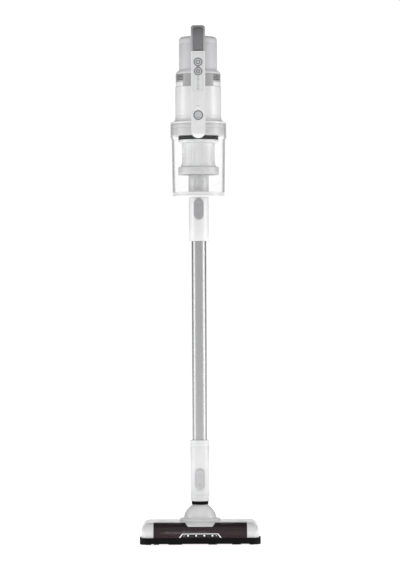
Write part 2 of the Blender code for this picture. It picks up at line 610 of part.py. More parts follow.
NECK_TUBE_RADIUS = SPIGOT_RADIUS - SPIGOT_WALL
ball = polar(BALL_RADIUS, 0.0130, NECK_TUBE_RADIUS + CLEAR, 9)
ball += reversed(polar(BALL_RADIUS - BALL_WALL, 0.0130, NECK_TUBE_RADIUS + CLEAR, 6))
neck_ball = place("neck_ball", turned(ball), WHITE, (0, 0, BALL_Z))
trunnion_low = BALL_RADIUS - BALL_WALL / 2
trunnion_high = RING_OUTER - CLEAR
trunnion = [(0, trunnion_low), (PIN_RADIUS, trunnion_low), (PIN_RADIUS, trunnion_high), (0, trunnion_high)]
for end_name, turn in (("front", 0), ("rear", math.pi)):
    stub = turned(trunnion, 16)
    stub.transform(Matrix.Rotation(turn, 4, "X"))
    boolean(neck_ball, "UNION", tool(f"trunnion_{end_name}", stub, (0, 0, BALL_Z), "Y"))

tube_low = BALL_Z + math.sqrt(BALL_RADIUS ** 2 - NECK_TUBE_RADIUS ** 2) - 0.0035
neck_bore = NECK_TUBE_RADIUS - 0.0018
connector = [(neck_bore, tube_low), (NECK_TUBE_RADIUS, tube_low), (NECK_TUBE_RADIUS, COLLAR_LOW)]
connector += [(COLLAR_RADIUS - 0.0006, COLLAR_LOW), (COLLAR_RADIUS, COLLAR_LOW + 0.0006)]
connector += [(COLLAR_RADIUS, COLLAR_TOP), (SPIGOT_RADIUS, COLLAR_TOP)]
connector += [(SPIGOT_RADIUS, COLLAR_TOP + SPIGOT_LENGTH), (neck_bore, COLLAR_TOP + SPIGOT_LENGTH)]
neck_connector = place("neck_connector", turned(connector), WHITE)
seal_low = BALL_Z + math.sqrt(BALL_RADIUS ** 2 - NECK_TUBE_RADIUS ** 2) + 0.0007
seal = tube(SEAL_RADIUS, SEAL_RADIUS - NECK_TUBE_RADIUS - CLEAR, seal_low, COLLAR_LOW - CLEAR)
place("neck_seal", turned(seal), RUBBER)

# ---------------------------------------------------------------- wand
TUBE_LOW = TUBE_SEEN_LOW - TUBE_INSERT
TUBE_HIGH = TUBE_SEEN_HIGH + TUBE_INSERT
place("wand_tube", turned(tube(TUBE_RADIUS, TUBE_WALL, TUBE_LOW, TUBE_HIGH)), ALUMINIUM)
DUCT_RADIUS = 0.0022
duct = [(0, TUBE_LOW), (DUCT_RADIUS, TUBE_LOW), (DUCT_RADIUS, TUBE_HIGH), (0, TUBE_HIGH)]
place("wand_wire_duct", turned(duct, 12), BLACK, (0, TUBE_RADIUS - TUBE_WALL - DUCT_RADIUS - CLEAR, 0))

grip_bore = TUBE_RADIUS + CLEAR
lower_ledge = TUBE_LOW - CLEAR
lower = [(BORE_RADIUS, LOWER_SLEEVE_Z), (LOWER_SLEEVE_RADIUS, LOWER_SLEEVE_Z)]
lower += [(LOWER_SLEEVE_RADIUS, TUBE_SEEN_LOW - 0.001), (LOWER_SLEEVE_RADIUS - 0.001, TUBE_SEEN_LOW)]
lower += [(grip_bore, TUBE_SEEN_LOW), (grip_bore, lower_ledge), (BORE_RADIUS, lower_ledge - 0.003)]
lower_sleeve = place("lower_sleeve", turned(lower), WHITE)

upper_ledge = TUBE_HIGH + CLEAR
upper = [(BORE_RADIUS, UPPER_SLEEVE_TOP), (BORE_RADIUS, upper_ledge + 0.003), (grip_bore, upper_ledge)]
upper += [(grip_bore, UPPER_SLEEVE_Z), (UPPER_SLEEVE_RADIUS - 0.001, UPPER_SLEEVE_Z)]
upper += [(UPPER_SLEEVE_RADIUS, UPPER_SLEEVE_Z + 0.001), (UPPER_SLEEVE_RADIUS, UPPER_SLEEVE_TOP)]
upper_sleeve = place("upper_sleeve", turned(upper), WHITE)


def release_button(name, sleeve, spigot, centre_z, sleeve_radius):
    """A pill-shaped latch button in the front of a sleeve, with its hole in sleeve and spigot."""
    hole = prism(pill(centre_z, PILL_WIDTH, PILL_HEIGHT, CLEAR), -0.04, 0, "Y")
    hole_tool = tool(f"{name}_hole", hole)
    boolean(sleeve, "DIFFERENCE", hole_tool)
    boolean(spigot, "DIFFERENCE", hole_tool)
    button = place(name, prism(pill(centre_z, PILL_WIDTH, PILL_HEIGHT), -sleeve_radius - PILL_PROUD, 0, "Y"), GREY)
    bore = turned([(0, 0), (BORE_RADIUS + 0.0002, 0), (BORE_RADIUS + 0.0002, UNIT_Z), (0, UNIT_Z)])
    boolean(button, "DIFFERENCE", tool(f"{name}_bore", bore))
    return button


# ---------------------------------------------------------------- dust cup
spigot_bore = SPIGOT_RADIUS - SPIGOT_WALL
base_top = CUP_BASE_Z + CUP_BASE_HEIGHT
base_floor = CUP_BASE_Z + 0.0057
base = [(spigot_bore, CUP_BASE_Z - SPIGOT_LENGTH), (SPIGOT_RADIUS, CUP_BASE_Z - SPIGOT_LENGTH)]
base += [(SPIGOT_RADIUS, CUP_BASE_Z)]
base += arc((CUP_BASE_RADIUS - 0.0035, CUP_BASE_Z + 0.0035), 0.0035, -90, 0, 4)
base += [(CUP_BASE_RADIUS, base_top), (CUP_BASE_RADIUS - CUP_WALL, base_top)]
base += [(CUP_BASE_RADIUS - CUP_WALL, base_floor), (spigot_bore, base_floor)]
cup_base = place("cup_base", turned(base), CLEAR_PLASTIC)

lower_pill_z = LOWER_SLEEVE_Z + LOWER_PILL_RISE + PILL_HEIGHT / 2
upper_pill_z = UPPER_SLEEVE_TOP - UPPER_PILL_DROP - PILL_HEIGHT / 2
release_button("lower_release_button", lower_sleeve, neck_connector, lower_pill_z, LOWER_SLEEVE_RADIUS)
release_button("upper_release_button", upper_sleeve, cup_base, upper_pill_z, UPPER_SLEEVE_RADIUS)

inlet_low = base_floor + CLEAR
inlet_top = inlet_low + INLET_HEIGHT
inlet = [(INLET_RADIUS - THIN_WALL, inlet_low), (INLET_RADIUS + 0.004, inlet_low)]
inlet += [(INLET_RADIUS + 0.0035, inlet_low + 0.0060), (INLET_RADIUS, inlet_low + 0.0080)]
inlet += [(INLET_RADIUS, inlet_top), (INLET_RADIUS - THIN_WALL, inlet_top)]
place("inlet_pipe", turned(inlet, 24), WHITE)

band_low = CUP_TOP - CUP_BAND_HEIGHT
cup = [(CUP_LOW_RADIUS - CUP_WALL, CUP_Z), (CUP_LOW_RADIUS, CUP_Z), (CUP_HIGH_RADIUS, band_low - 0.0006)]
cup += [(CUP_BAND_RADIUS, band_low + 0.0024), (CUP_BAND_RADIUS, CUP_TOP), (CUP_BAND_RADIUS - CUP_WALL, CUP_TOP)]
cup += [(CUP_BAND_RADIUS - CUP_WALL, band_low + 0.0030), (CUP_HIGH_RADIUS - CUP_WALL, band_low)]
place("dust_cup", turned(cup), CLEAR_PLASTIC)

skirt_low = inlet_top + CLEAR
skirt_top = skirt_low + SKIRT_HEIGHT
skirt = [(SKIRT_RADIUS - THIN_WALL, skirt_low), (SKIRT_RADIUS, skirt_low), (SKIRT_RADIUS, skirt_top)]
skirt += [(AIR_HOLE_RADIUS, skirt_top), (AIR_HOLE_RADIUS, skirt_top - THIN_WALL)]
skirt += [(SKIRT_RADIUS - THIN_WALL, skirt_top - THIN_WALL)]
place("cyclone_skirt", turned(skirt), GREY)

screen_low = skirt_top + CLEAR
screen_top = screen_low + SCREEN_HEIGHT
screen = [(SCREEN_RADIUS - THIN_WALL, screen_low), (SCREEN_RADIUS + 0.0032, screen_low)]
screen += [(SCREEN_RADIUS + 0.0020, screen_low + 0.0055), (SCREEN_RADIUS, screen_low + 0.0080)]
screen += [(SCREEN_RADIUS, screen_top), (SCREEN_RADIUS - THIN_WALL, screen_top)]
place("cyclone_screen", turned(screen), WHITE)

plate_low = screen_top + CLEAR
plate_top = plate_low + CYCLONE_PLATE_HEIGHT
PLATE_RADIUS = SKIRT_RADIUS - 0.0006
plate = tube(PLATE_RADIUS, PLATE_RADIUS - AIR_HOLE_RADIUS, plate_low, plate_top)
place("cyclone_plate", turned(plate), WHITE)
seal_top = plate_top + CLEAR + FILTER_SEAL_HEIGHT
place("filter_seal", turned(tube(PLATE_RADIUS, 0.0052, plate_top + CLEAR, seal_top)), RUBBER)

FILTER_RADIUS = CUP_BAND_RADIUS - CUP_WALL - CLEAR
filter_low = seal_top + CLEAR
holder = [(AIR_HOLE_RADIUS, filter_low), (FILTER_RADIUS, filter_low), (FILTER_RADIUS, CUP_TOP)]
holder += [(FILTER_RADIUS - THIN_WALL, CUP_TOP), (FILTER_RADIUS - THIN_WALL, filter_low + THIN_WALL)]
holder += [(AIR_HOLE_RADIUS, filter_low + THIN_WALL)]
place("filter_housing", turned(holder), GREY)
hepa = tube(FILTER_RADIUS - THIN_WALL - 0.004, 0.020, filter_low + THIN_WALL + CLEAR, CUP_TOP - 0.002)
place("pleated_filter", turned(hepa, 24), PAPER)

# ---------------------------------------------------------------- motor unit
rim_top = UNIT_Z + RIM_HEIGHT
shoulder_top = rim_top + SHOULDER_HEIGHT
unit_top = UNIT_Z + MOTOR_HOUSING_HEIGHT
wall = SHELL_WALL
housing = [(CUP_BAND_RADIUS - 0.0060, UNIT_Z), (CUP_BAND_RADIUS, UNIT_Z), (CUP_BAND_RADIUS, rim_top)]
for step in range(1, 5):
    turn = math.radians(90 * step / 4)
    spread = CUP_BAND_RADIUS - MOTOR_HOUSING_RADIUS
    housing.append((CUP_BAND_RADIUS - spread * math.sin(turn), rim_top + SHOULDER_HEIGHT * (1 - math.cos(turn))))
housing += [(MOTOR_HOUSING_RADIUS, unit_top), (MOTOR_HOUSING_RADIUS - wall, unit_top)]
housing += [(MOTOR_HOUSING_RADIUS - wall, rim_top - 0.0005)]
place("motor_housing", turned(housing), WHITE)

place("vent_ring", turned(tube(VENT_RING_RADIUS, wall, VENT_Z, VENT_Z + VENT_RING_HEIGHT)), GREY)
collar = [(BATTERY_NECK_RADIUS + CLEAR, TOP_COLLAR_Z), (VENT_RING_RADIUS, TOP_COLLAR_Z)]
collar += [(VENT_RING_RADIUS - 0.0010, TOP_COLLAR_Z + 0.0025), (BATTERY_RADIUS + 0.0004, TOP_COLLAR_TOP)]
collar += [(BATTERY_NECK_RADIUS + CLEAR, TOP_COLLAR_TOP)]
place("top_collar", turned(collar), WHITE)

SUCTION_MOTOR_Z = UNIT_Z + 0.0310
motor_top = SUCTION_MOTOR_Z + SUCTION_MOTOR_HEIGHT
engine = [(0, SUCTION_MOTOR_Z), (SUCTION_MOTOR_RADIUS - 0.004, SUCTION_MOTOR_Z)]
engine += [(SUCTION_MOTOR_RADIUS, SUCTION_MOTOR_Z + 0.004), (SUCTION_MOTOR_RADIUS, motor_top - 0.006)]
engine += [(SUCTION_MOTOR_RADIUS - 0.010, motor_top), (0, motor_top)]
place("suction_motor", turned(engine, 24), STEEL)
mount_low = SUCTION_MOTOR_Z + 0.018
mount_outer = MOTOR_HOUSING_RADIUS - wall - CLEAR
mount_wall = mount_outer - SUCTION_MOTOR_RADIUS - CLEAR
place("motor_mount", turned(tube(mount_outer, mount_wall, mount_low, mount_low + 0.005)), RUBBER)
fan_low = SUCTION_MOTOR_Z - 0.0130
impeller = [(0, fan_low), (0.006, fan_low), (0.007, fan_low + 0.004), (IMPELLER_RADIUS, fan_low + 0.008)]
impeller += [(IMPELLER_RADIUS, fan_low + 0.0105), (0.0025, fan_low + 0.0110), (0.0025, SUCTION_MOTOR_Z - CLEAR)]
impeller += [(0, SUCTION_MOTOR_Z - CLEAR)]
place("impeller", turned(impeller, 24), STEEL)

# battery pack, closed at its foot by a floor that the cells stand on
battery_low = BATTERY_Z - BATTERY_INSERT
case = [(BATTERY_NECK_RADIUS - wall, battery_low), (BATTERY_NECK_RADIUS, battery_low), (BATTERY_NECK_RADIUS, BATTERY_Z)]
case += [(BATTERY_RADIUS, BATTERY_Z)]
case += arc((BATTERY_RADIUS - BATTERY_ROUND, BATTERY_TOP - BATTERY_ROUND), BATTERY_ROUND, 0, 90, 5)
case += [(0, BATTERY_TOP), (0, BATTERY_TOP - 0.0030), (BATTERY_NECK_RADIUS - wall - 0.006, BATTERY_TOP - 0.0030)]
case += [(BATTERY_NECK_RADIUS - wall, BATTERY_TOP - 0.0090)]
battery_case = place("battery_case", turned(case), BATTERY_WHITE)
LATCH_X = 0.0232
LATCH_Y = -0.0245
latch_hole = block((-0.0038, 0.0038), (-0.0033, 0.0033), (-0.02, 0.02))
boolean(battery_case, "DIFFERENCE", tool("latch_hole", latch_hole, (LATCH_X, LATCH_Y, BATTERY_TOP)))
latch = block((-0.0035, 0.0035), (-0.0030, 0.0030), (-0.0075, -0.0012))
place("battery_latch", latch, BLACK, (LATCH_X, LATCH_Y, BATTERY_TOP))
floor_radius = BATTERY_NECK_RADIUS - wall - CLEAR
foot = [(0, battery_low), (floor_radius, battery_low), (floor_radius, battery_low + 0.0025), (0, battery_low + 0.0025)]
place("battery_floor", turned(foot, 24), BLACK)

cells_low = battery_low + 0.0025 + CLEAR
strap = [(0, cells_low), (0.0270, cells_low), (0.0270, cells_low + 0.0008), (0, cells_low + 0.0008)]
cell_pack = place("cell_pack", turned(strap, 24), STEEL)
CELL_PITCH = 0.0186
for cell in range(7):
    turn = math.tau * cell / 6
    spread = CELL_PITCH if cell < 6 else 0
    can = [(0, 0.0004), (CELL_RADIUS, 0.0004), (CELL_RADIUS, CELL_LENGTH), (0, CELL_LENGTH)]
    spot = (spread * math.cos(turn), spread * math.sin(turn), cells_low)
    boolean(cell_pack, "UNION", tool(f"cell_{cell + 1}", turned(can, 16), spot))

# ---------------------------------------------------------------- handle
front = -HANDLE_REACH
bar_back = front + BAR_DEPTH
crown = 0.0300
crown_back = 0.0360
spine_back = -BATTERY_RADIUS - 0.0045
body_side = -0.0440
arm_low = shoulder_top + 0.0022
side_view = arc((front + 0.0090, HANDLE_TIP_Z + 0.0090), 0.0090, 270, 180, 5)
side_view += arc((front + crown, HANDLE_TOP_Z - crown), crown, 180, 90, 8)
side_view += arc((front + crown, HANDLE_TOP_Z - crown_back), crown_back, 90, 0, 8)[1:]
side_view += [(spine_back, TOP_COLLAR_TOP + 0.0015), (body_side, TOP_COLLAR_TOP - 0.0005), (body_side, arm_low)]
side_view += [(-CUP_BAND_RADIUS - 0.0006, arm_low), (-CUP_BAND_RADIUS - 0.0060, arm_low - 0.0020)]
side_view += [(bar_back - 0.0005, CUP_BUTTON_Z - 0.0148), (bar_back - 0.0010, HANDLE_TIP_Z + 0.0160)]
side_view += [(bar_back - 0.0060, HANDLE_TIP_Z + 0.0030)]

half_width = HANDLE_WIDTH / 2
tip = arc((0, HANDLE_TIP_Z + half_width), half_width, 180, 360, 12)
corner = arc((half_width - 0.008, HANDLE_TOP_Z - 0.008), 0.008, 0, 90, 4)
front_view = tip + corner + [(-x, z) for x, z in reversed(corner)]
handle_outline = tool("handle_outline", prism(front_view, -0.2, 0.1, "Y"))

finger_radius = (bar_back * -1 - SPINE_FRONT) / 2
finger_y = bar_back + finger_radius
finger = arc((finger_y, FINGER_HIGH_Z - finger_radius), finger_radius, 0, 180, 10)
finger += arc((finger_y, FINGER_LOW_Z + finger_radius), finger_radius, 180, 360, 10)
finger_gap = tool("finger_gap", prism(finger, -0.1, 0.1, "X"))

seat = [(0, UNIT_Z), (CUP_BAND_RADIUS + CLEAR, UNIT_Z), (CUP_BAND_RADIUS + CLEAR, rim_top + 0.0020)]
seat += [(MOTOR_HOUSING_RADIUS + CLEAR, shoulder_top + 0.0010), (MOTOR_HOUSING_RADIUS + CLEAR, unit_top + CLEAR)]
seat += [(VENT_RING_RADIUS + CLEAR, unit_top + CLEAR), (VENT_RING_RADIUS + CLEAR, TOP_COLLAR_Z + 0.0030)]
seat += [(BATTERY_RADIUS + 0.0007 + CLEAR, TOP_COLLAR_TOP + 0.0010), (0, TOP_COLLAR_TOP + 0.0010)]
body_seat = tool("body_seat", turned(seat))


def handle_piece(name, surface, low, high):
    """The handle's full form, kept between two heights."""
    whole = place(name, prism(side_view, -half_width, half_width, "X"), surface)
    edge = whole.modifiers.new("round_edges", "BEVEL")
    edge.width = HANDLE_EDGE
    edge.segments = 3
    edge.limit_method = "ANGLE"
    edge.angle_limit = math.radians(60)
    slab = tool(f"{name}_part", block((-0.1, 0.1), (-0.2, 0.1), (low, high)))
    return boolean(whole, "INTERSECT", handle_outline, slab)


handle_frame = handle_piece("handle_frame", WHITE, HANDLE_TIP_Z - 0.01, GRIP_LOW_Z)
boolean(handle_frame, "DIFFERENCE", finger_gap, body_seat)
grip_cover = handle_piece("grip_cover", SOFT_GREY, GRIP_LOW_Z + CLEAR, HANDLE_TOP_Z + 0.01)
boolean(grip_cover, "DIFFERENCE", finger_gap)

panel_high = GRIP_LOW_Z - 0.0035
half_panel = PANEL_WIDTH / 2
pocket = block((-half_panel, half_panel), (-0.2, front + POCKET_DEPTH), (PANEL_LOW_Z, panel_high))
boolean(handle_frame, "DIFFERENCE", tool("panel_pocket", pocket))


def round_hole(name, z, radius, depth):
    """A round cutter from in front of the handle to a depth behind its face."""
    profile = [(0, -0.05), (radius, -0.05), (radius, depth), (0, depth)]
    return tool(name, turned(profile, SMALL_STEPS), (0, front, z), "Y")


def round_button(name, z, radius, depth):
    """A slightly domed push button that stands a little proud of the handle's face."""
    profile = [(0, depth), (radius, depth), (radius, 0), (radius - 0.0012, -BUTTON_PROUD), (0, -BUTTON_PROUD)]
    return place(name, turned(profile, SMALL_STEPS), GREY, (0, front, z), "Y")


panel = block((-half_panel + CLEAR, half_panel - CLEAR), (front + 0.0003, front + 0.0003 + PANEL_THICK),
              (PANEL_LOW_Z + CLEAR, panel_high - CLEAR))
control_panel = place("control_panel", panel, GREY)
LENS_LOW = PANEL_LOW_Z + 0.0020
LENS_HIGH = LENS_LOW + 0.0280
lens_hole = tool("lens_hole", block((-0.0021, 0.0021), (-0.2, 0), (LENS_LOW, LENS_HIGH)))
boolean(control_panel, "DIFFERENCE", round_hole("power_hole", POWER_Z, POWER_RADIUS + CLEAR, 0.01))
boolean(control_panel, "DIFFERENCE", round_hole("mode_hole", MODE_Z, MODE_RADIUS + CLEAR, 0.01), lens_hole)
BUTTON_DEPTH = 0.0042
round_button("power_button", POWER_Z, POWER_RADIUS, BUTTON_DEPTH)
round_button("mode_button", MODE_Z, MODE_RADIUS, BUTTON_DEPTH)
lens = block((-0.0018, 0.0018), (front + 0.0001, front + BUTTON_DEPTH), (LENS_LOW + CLEAR, LENS_HIGH - CLEAR))
place("indicator_lens", lens, CLEAR_PLASTIC)
board_span = (front + POCKET_DEPTH - CLEAR - 0.0014, front + POCKET_DEPTH - CLEAR)
board = block((-half_panel + 0.001, half_panel - 0.001), board_span, (PANEL_LOW_Z + 0.001, panel_high - 0.001))
place("control_board", board, GREEN)

boolean(handle_frame, "DIFFERENCE", round_hole("cup_button_hole", CUP_BUTTON_Z, CUP_BUTTON_RADIUS + CLEAR, 0.0085))
round_button("cup_release_button", CUP_BUTTON_Z, CUP_BUTTON_RADIUS, 0.0052)
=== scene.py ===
"""Looks of the cordless stick vacuum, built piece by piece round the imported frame."""

import math

import bpy
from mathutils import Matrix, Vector


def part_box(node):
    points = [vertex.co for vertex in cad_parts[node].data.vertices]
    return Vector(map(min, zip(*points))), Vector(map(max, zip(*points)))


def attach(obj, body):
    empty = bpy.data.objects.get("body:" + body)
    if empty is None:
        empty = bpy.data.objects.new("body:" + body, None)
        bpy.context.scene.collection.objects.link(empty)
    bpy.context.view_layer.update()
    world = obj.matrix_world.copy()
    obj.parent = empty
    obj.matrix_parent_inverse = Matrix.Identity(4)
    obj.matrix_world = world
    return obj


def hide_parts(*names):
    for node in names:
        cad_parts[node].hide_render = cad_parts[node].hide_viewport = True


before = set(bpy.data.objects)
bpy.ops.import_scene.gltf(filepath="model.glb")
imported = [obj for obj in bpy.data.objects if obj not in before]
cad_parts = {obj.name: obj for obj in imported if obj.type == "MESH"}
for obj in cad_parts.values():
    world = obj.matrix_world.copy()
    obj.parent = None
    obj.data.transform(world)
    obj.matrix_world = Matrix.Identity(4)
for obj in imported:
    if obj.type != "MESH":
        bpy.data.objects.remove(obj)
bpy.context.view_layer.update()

# Studio: a pale sweep of floor, a white surround with dark flags
# beside the backdrop, and two tall soft boxes that light the white shells from both sides.
wand_low, wand_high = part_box("wand_tube")
AXIS_Y = (wand_low.y + wand_high.y) / 2
scene = bpy.context.scene
scene.view_settings.view_transform = "Standard"

bpy.ops.object.select_all(action="DESELECT")
bpy.ops.mesh.primitive_plane_add(size=14, location=(0, 3.0, -0.0005))
studio_floor = bpy.context.object
studio_floor.name = "studio_floor"
floor_white = bpy.data.materials.new("floor_white")
floor_white.use_nodes = True
floor_shader = floor_white.node_tree.nodes["Principled BSDF"]
floor_shader.inputs["Base Color"].default_value = (0.96, 0.96, 0.96, 1)
floor_shader.inputs["Roughness"].default_value = 0.7
floor_shader.inputs["Emission Color"].default_value = (1, 1, 1, 1)
floor_shader.inputs["Emission Strength"].default_value = 0.85
studio_floor.data.materials.append(floor_white)

world = bpy.data.worlds.new("studio_surround")
world.use_nodes = True
scene.world = world
sky = world.node_tree
direction = sky.nodes.new("ShaderNodeTexCoord")
parts_of = sky.nodes.new("ShaderNodeSeparateXYZ")
front_to_back = sky.nodes.new("ShaderNodeMapRange")
front_to_back.inputs["From Min"].default_value = -1
shade = sky.nodes.new("ShaderNodeValToRGB")
shade.color_ramp.elements.remove(shade.color_ramp.elements[1])
shade.color_ramp.elements[0].color = (0.60, 0.60, 0.60, 1)
for position, level in ((0.40, 0.52), (0.58, 0.05), (0.95, 0.05), (0.985, 1.03)):
    shade.color_ramp.elements.new(position).color = (level, level, level, 1)
sky.links.new(direction.outputs["Generated"], parts_of.inputs[0])
sky.links.new(parts_of.outputs["Y"], front_to_back.inputs["Value"])
sky.links.new(front_to_back.outputs["Result"], shade.inputs["Fac"])
sky.links.new(shade.outputs["Color"], sky.nodes["Background"].inputs["Strength"])
sky.nodes["Background"].inputs["Color"].default_value = (1, 1, 1, 1)

SOFTBOX_WIDTH = 0.7
for name, x, power in (("left_softbox", -1.7, 10), ("right_softbox", 1.7, 12.5)):
    bpy.ops.object.light_add(type="AREA", location=(x, -0.2, 0.75))
    softbox = bpy.context.object
    softbox.name = name
    softbox.data.shape = "RECTANGLE"
    softbox.data.size = SOFTBOX_WIDTH
    softbox.data.size_y = 1.9
    softbox.data.energy = power
    aim = Vector((0, AXIS_Y, 0.65)) - softbox.location
    softbox.rotation_euler = aim.to_track_quat("-Z", "Y").to_euler()
bpy.ops.object.light_add(type="AREA", location=(-0.5, -3.0, 2.6))
fill = bpy.context.object
fill.name = "front_fill"
fill.data.size = 1.6
fill.data.energy = 14
fill.rotation_euler = (Vector((0, AXIS_Y, 0.5)) - fill.location).to_track_quat("-Z", "Y").to_euler()

CAMERA_DISTANCE = 6.0
camera_data = bpy.data.cameras.new("studio_camera")
camera_data.lens = 173.7
camera = bpy.data.objects.new("studio_camera", camera_data)
camera.location = (0.002, AXIS_Y - CAMERA_DISTANCE, 0.559)
camera.rotation_euler = (math.radians(90), math.radians(0.27), 0)
scene.collection.objects.link(camera)
scene.camera = camera


# Floor-head cover: one white gloss moulding with a round nose, round shoulders and a
# round tail, open below, cut away for the window, the swivel and the slider.
def moulded(name, colour, roughness, grain, depth, spread=0.06, metallic=0.0):
    """Moulded or rolled finish: fine grain in the surface and slightly uneven gloss."""
    made = bpy.data.materials.new(name)
    made.use_nodes = True
    tree = made.node_tree
    shader = tree.nodes["Principled BSDF"]
    shader.inputs["Metallic"].default_value = metallic
    place = tree.nodes.new("ShaderNodeTexCoord")
    fine = tree.nodes.new("ShaderNodeTexNoise")
    fine.inputs["Scale"].default_value = grain
    fine.inputs["Detail"].default_value = 3
    broad = tree.nodes.new("ShaderNodeTexNoise")
    broad.inputs["Scale"].default_value = 38
    broad.inputs["Detail"].default_value = 4
    gloss = tree.nodes.new("ShaderNodeMapRange")
    gloss.inputs["To Min"].default_value = max(0.02, roughness - spread)
    gloss.inputs["To Max"].default_value = roughness + spread
    tint = tree.nodes.new("ShaderNodeMix")
    tint.data_type = "RGBA"
    tint.inputs["A"].default_value = (*[channel * 0.975 for channel in colour], 1)
    tint.inputs["B"].default_value = (*colour, 1)
    bump = tree.nodes.new("ShaderNodeBump")
    bump.inputs["Strength"].default_value = 0.6
    bump.inputs["Distance"].default_value = depth
    tree.links.new(place.outputs["Object"], fine.inputs["Vector"])
    tree.links.new(place.outputs["Object"], broad.inputs["Vector"])
    tree.links.new(broad.outputs["Fac"], gloss.inputs["Value"])
    tree.links.new(broad.outputs["Fac"], tint.inputs["Factor"])
    tree.links.new(gloss.outputs["Result"], shader.inputs["Roughness"])
    tree.links.new(tint.outputs["Result"], shader.inputs["Base Color"])
    tree.links.new(fine.outputs["Fac"], bump.inputs["Height"])
    tree.links.new(bump.outputs["Normal"], shader.inputs["Normal"])
    return made


def cube_between(name, low, high):
    """A cube whose own mesh spans two corners."""
    bpy.ops.object.select_all(action="DESELECT")
    middle = [(a + b) / 2 for a, b in zip(low, high)]
    bpy.ops.mesh.primitive_cube_add(size=1, location=middle)
    piece = bpy.context.object
    piece.name = name
    piece.scale = [b - a for a, b in zip(low, high)]
    bpy.ops.object.transform_apply(location=True, rotation=True, scale=True)
    return piece


def select_only(piece):
    """Makes a piece the one selected and active object."""
    bpy.ops.object.select_all(action="DESELECT")
    piece.select_set(True)
    bpy.context.view_layer.objects.active = piece


def round_edges(piece, choose, width, segments):
    """Bevels the edges that choose(first, second) picks, by their end points."""
    select_only(piece)
    bpy.ops.object.mode_set(mode="EDIT")
    bpy.ops.mesh.select_mode(type="EDGE")
    bpy.ops.mesh.select_all(action="DESELECT")
    bpy.ops.object.mode_set(mode="OBJECT")
    for edge in piece.data.edges:
        ends = [piece.data.vertices[index].co for index in edge.vertices]
        edge.select = choose(*ends)
    bpy.ops.object.mode_set(mode="EDIT")
    bpy.ops.mesh.bevel(offset=width, segments=segments)
    bpy.ops.mesh.select_mode(type="VERT")
    bpy.ops.object.mode_set(mode="OBJECT")


def drop_faces(piece, choose):
    """Deletes the faces that choose(face) picks and leaves the piece an open shell."""
    bpy.ops.object.mode_set(mode="EDIT")
    bpy.ops.mesh.select_mode(type="FACE")
    bpy.ops.mesh.select_all(action="DESELECT")
    bpy.ops.object.mode_set(mode="OBJECT")
    for face in piece.data.polygons:
        face.select = choose(face)
    bpy.ops.object.mode_set(mode="EDIT")
    bpy.ops.mesh.delete(type="FACE")
    bpy.ops.mesh.select_mode(type="VERT")
    bpy.ops.mesh.select_all(action="SELECT")
    bpy.ops.mesh.remove_doubles(threshold=0.00002)
    bpy.ops.object.mode_set(mode="OBJECT")


def along(axis, side=None):
    """Picks edges along an axis; side gives, per other axis, the sign of the half to keep."""
    def choose(first, second):
        run = second - first
        if abs(run[axis]) < 0.9 * run.length:
            return False
        middle = (first + second) / 2
        return side is None or all((middle[other] - at) * sign > 0 for other, at, sign in side)
    return choose


def finish_modifier(piece, kind, **settings):
    """Adds a modifier with its settings and applies it."""
    select_only(piece)
    change = piece.modifiers.new(kind.lower(), kind)
    for key, value in settings.items():
        setattr(change, key, value)
    bpy.ops.object.modifier_apply(modifier=change.name)


def carve(piece, cutter, operation="DIFFERENCE"):
    """Cuts, keeps or joins another solid, which is used up."""
    finish_modifier(piece, "BOOLEAN", object=cutter, operation=operation)
    bpy.data.objects.remove(cutter, do_unlink=True)


def soften(piece, width, segments=2, angle=32):
    """Rounds the sharp edges slightly and shades the rest smooth."""
    finish_modifier(piece, "BEVEL", width=width, segments=segments, limit_method="ANGLE",
                    angle_limit=math.radians(angle), use_clamp_overlap=True)
    smooth(piece)


def smooth(piece):
    """Shades a piece smooth where its faces meet at a low angle."""
    select_only(piece)
    bpy.ops.object.shade_smooth_by_angle(angle=math.radians(32))


def dress(piece, surface, slot, body, *nodes):
    """Gives a finished piece its material, body and the CAD nodes it stands for; the slot is not used."""
    piece.data.materials.clear()
    piece.data.materials.append(surface)
    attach(piece, body)
    if nodes:
        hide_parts(*nodes)


def widen(piece, choose, share, centre=(0, 0, 0)):
    """Scales the corners that choose(point) picks across the piece's width."""
    bpy.ops.object.mode_set(mode="EDIT")
    bpy.ops.mesh.select_all(action="DESELECT")
    bpy.ops.object.mode_set(mode="OBJECT")
    for vertex in piece.data.vertices:
        vertex.select = choose(vertex.co)
    bpy.ops.object.mode_set(mode="EDIT")
    bpy.ops.transform.resize(value=(share, 1, 1), center_override=centre)
    bpy.ops.object.mode_set(mode="OBJECT")


def round_box(node):
    """A round node's two corners and its radius."""
    low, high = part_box(node)
    return low, high, (high.x - low.x) / 2


white_gloss = moulded("white_gloss_shell", (0.76, 0.76, 0.765), 0.20, 1400, 0.00002)
cover_low, cover_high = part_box("head_cover")
socket_low, socket_high, SOCKET_RADIUS = round_box("swivel_socket")
window_low, window_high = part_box("brush_window")
deck = cover_high.z
mid_z = (cover_low.z + cover_high.z) / 2
NOSE = cover_high.z - cover_low.z - 0.0005
cover = cube_between("head_cover_shell", cover_low, cover_high)
round_edges(cover, along(0, [(2, mid_z, 1)]), NOSE, 20)
shoulders = cube_between("shoulders", (cover_low.x, -0.3, cover_low.z - 0.01), (cover_high.x, 0.3, deck))
round_edges(shoulders, along(1, [(2, 0.02, 1)]), 0.019, 14)
carve(cover, shoulders, "INTERSECT")
corners = cube_between("corners", (cover_low.x, cover_low.y, -0.1), (cover_high.x, cover_high.y, 0.1))
round_edges(corners, along(2), 0.0158, 12)
carve(cover, corners, "INTERSECT")
drop_faces(cover, lambda face: face.normal.z < -0.99)
finish_modifier(cover, "SOLIDIFY", thickness=0.0022, offset=-1.0)

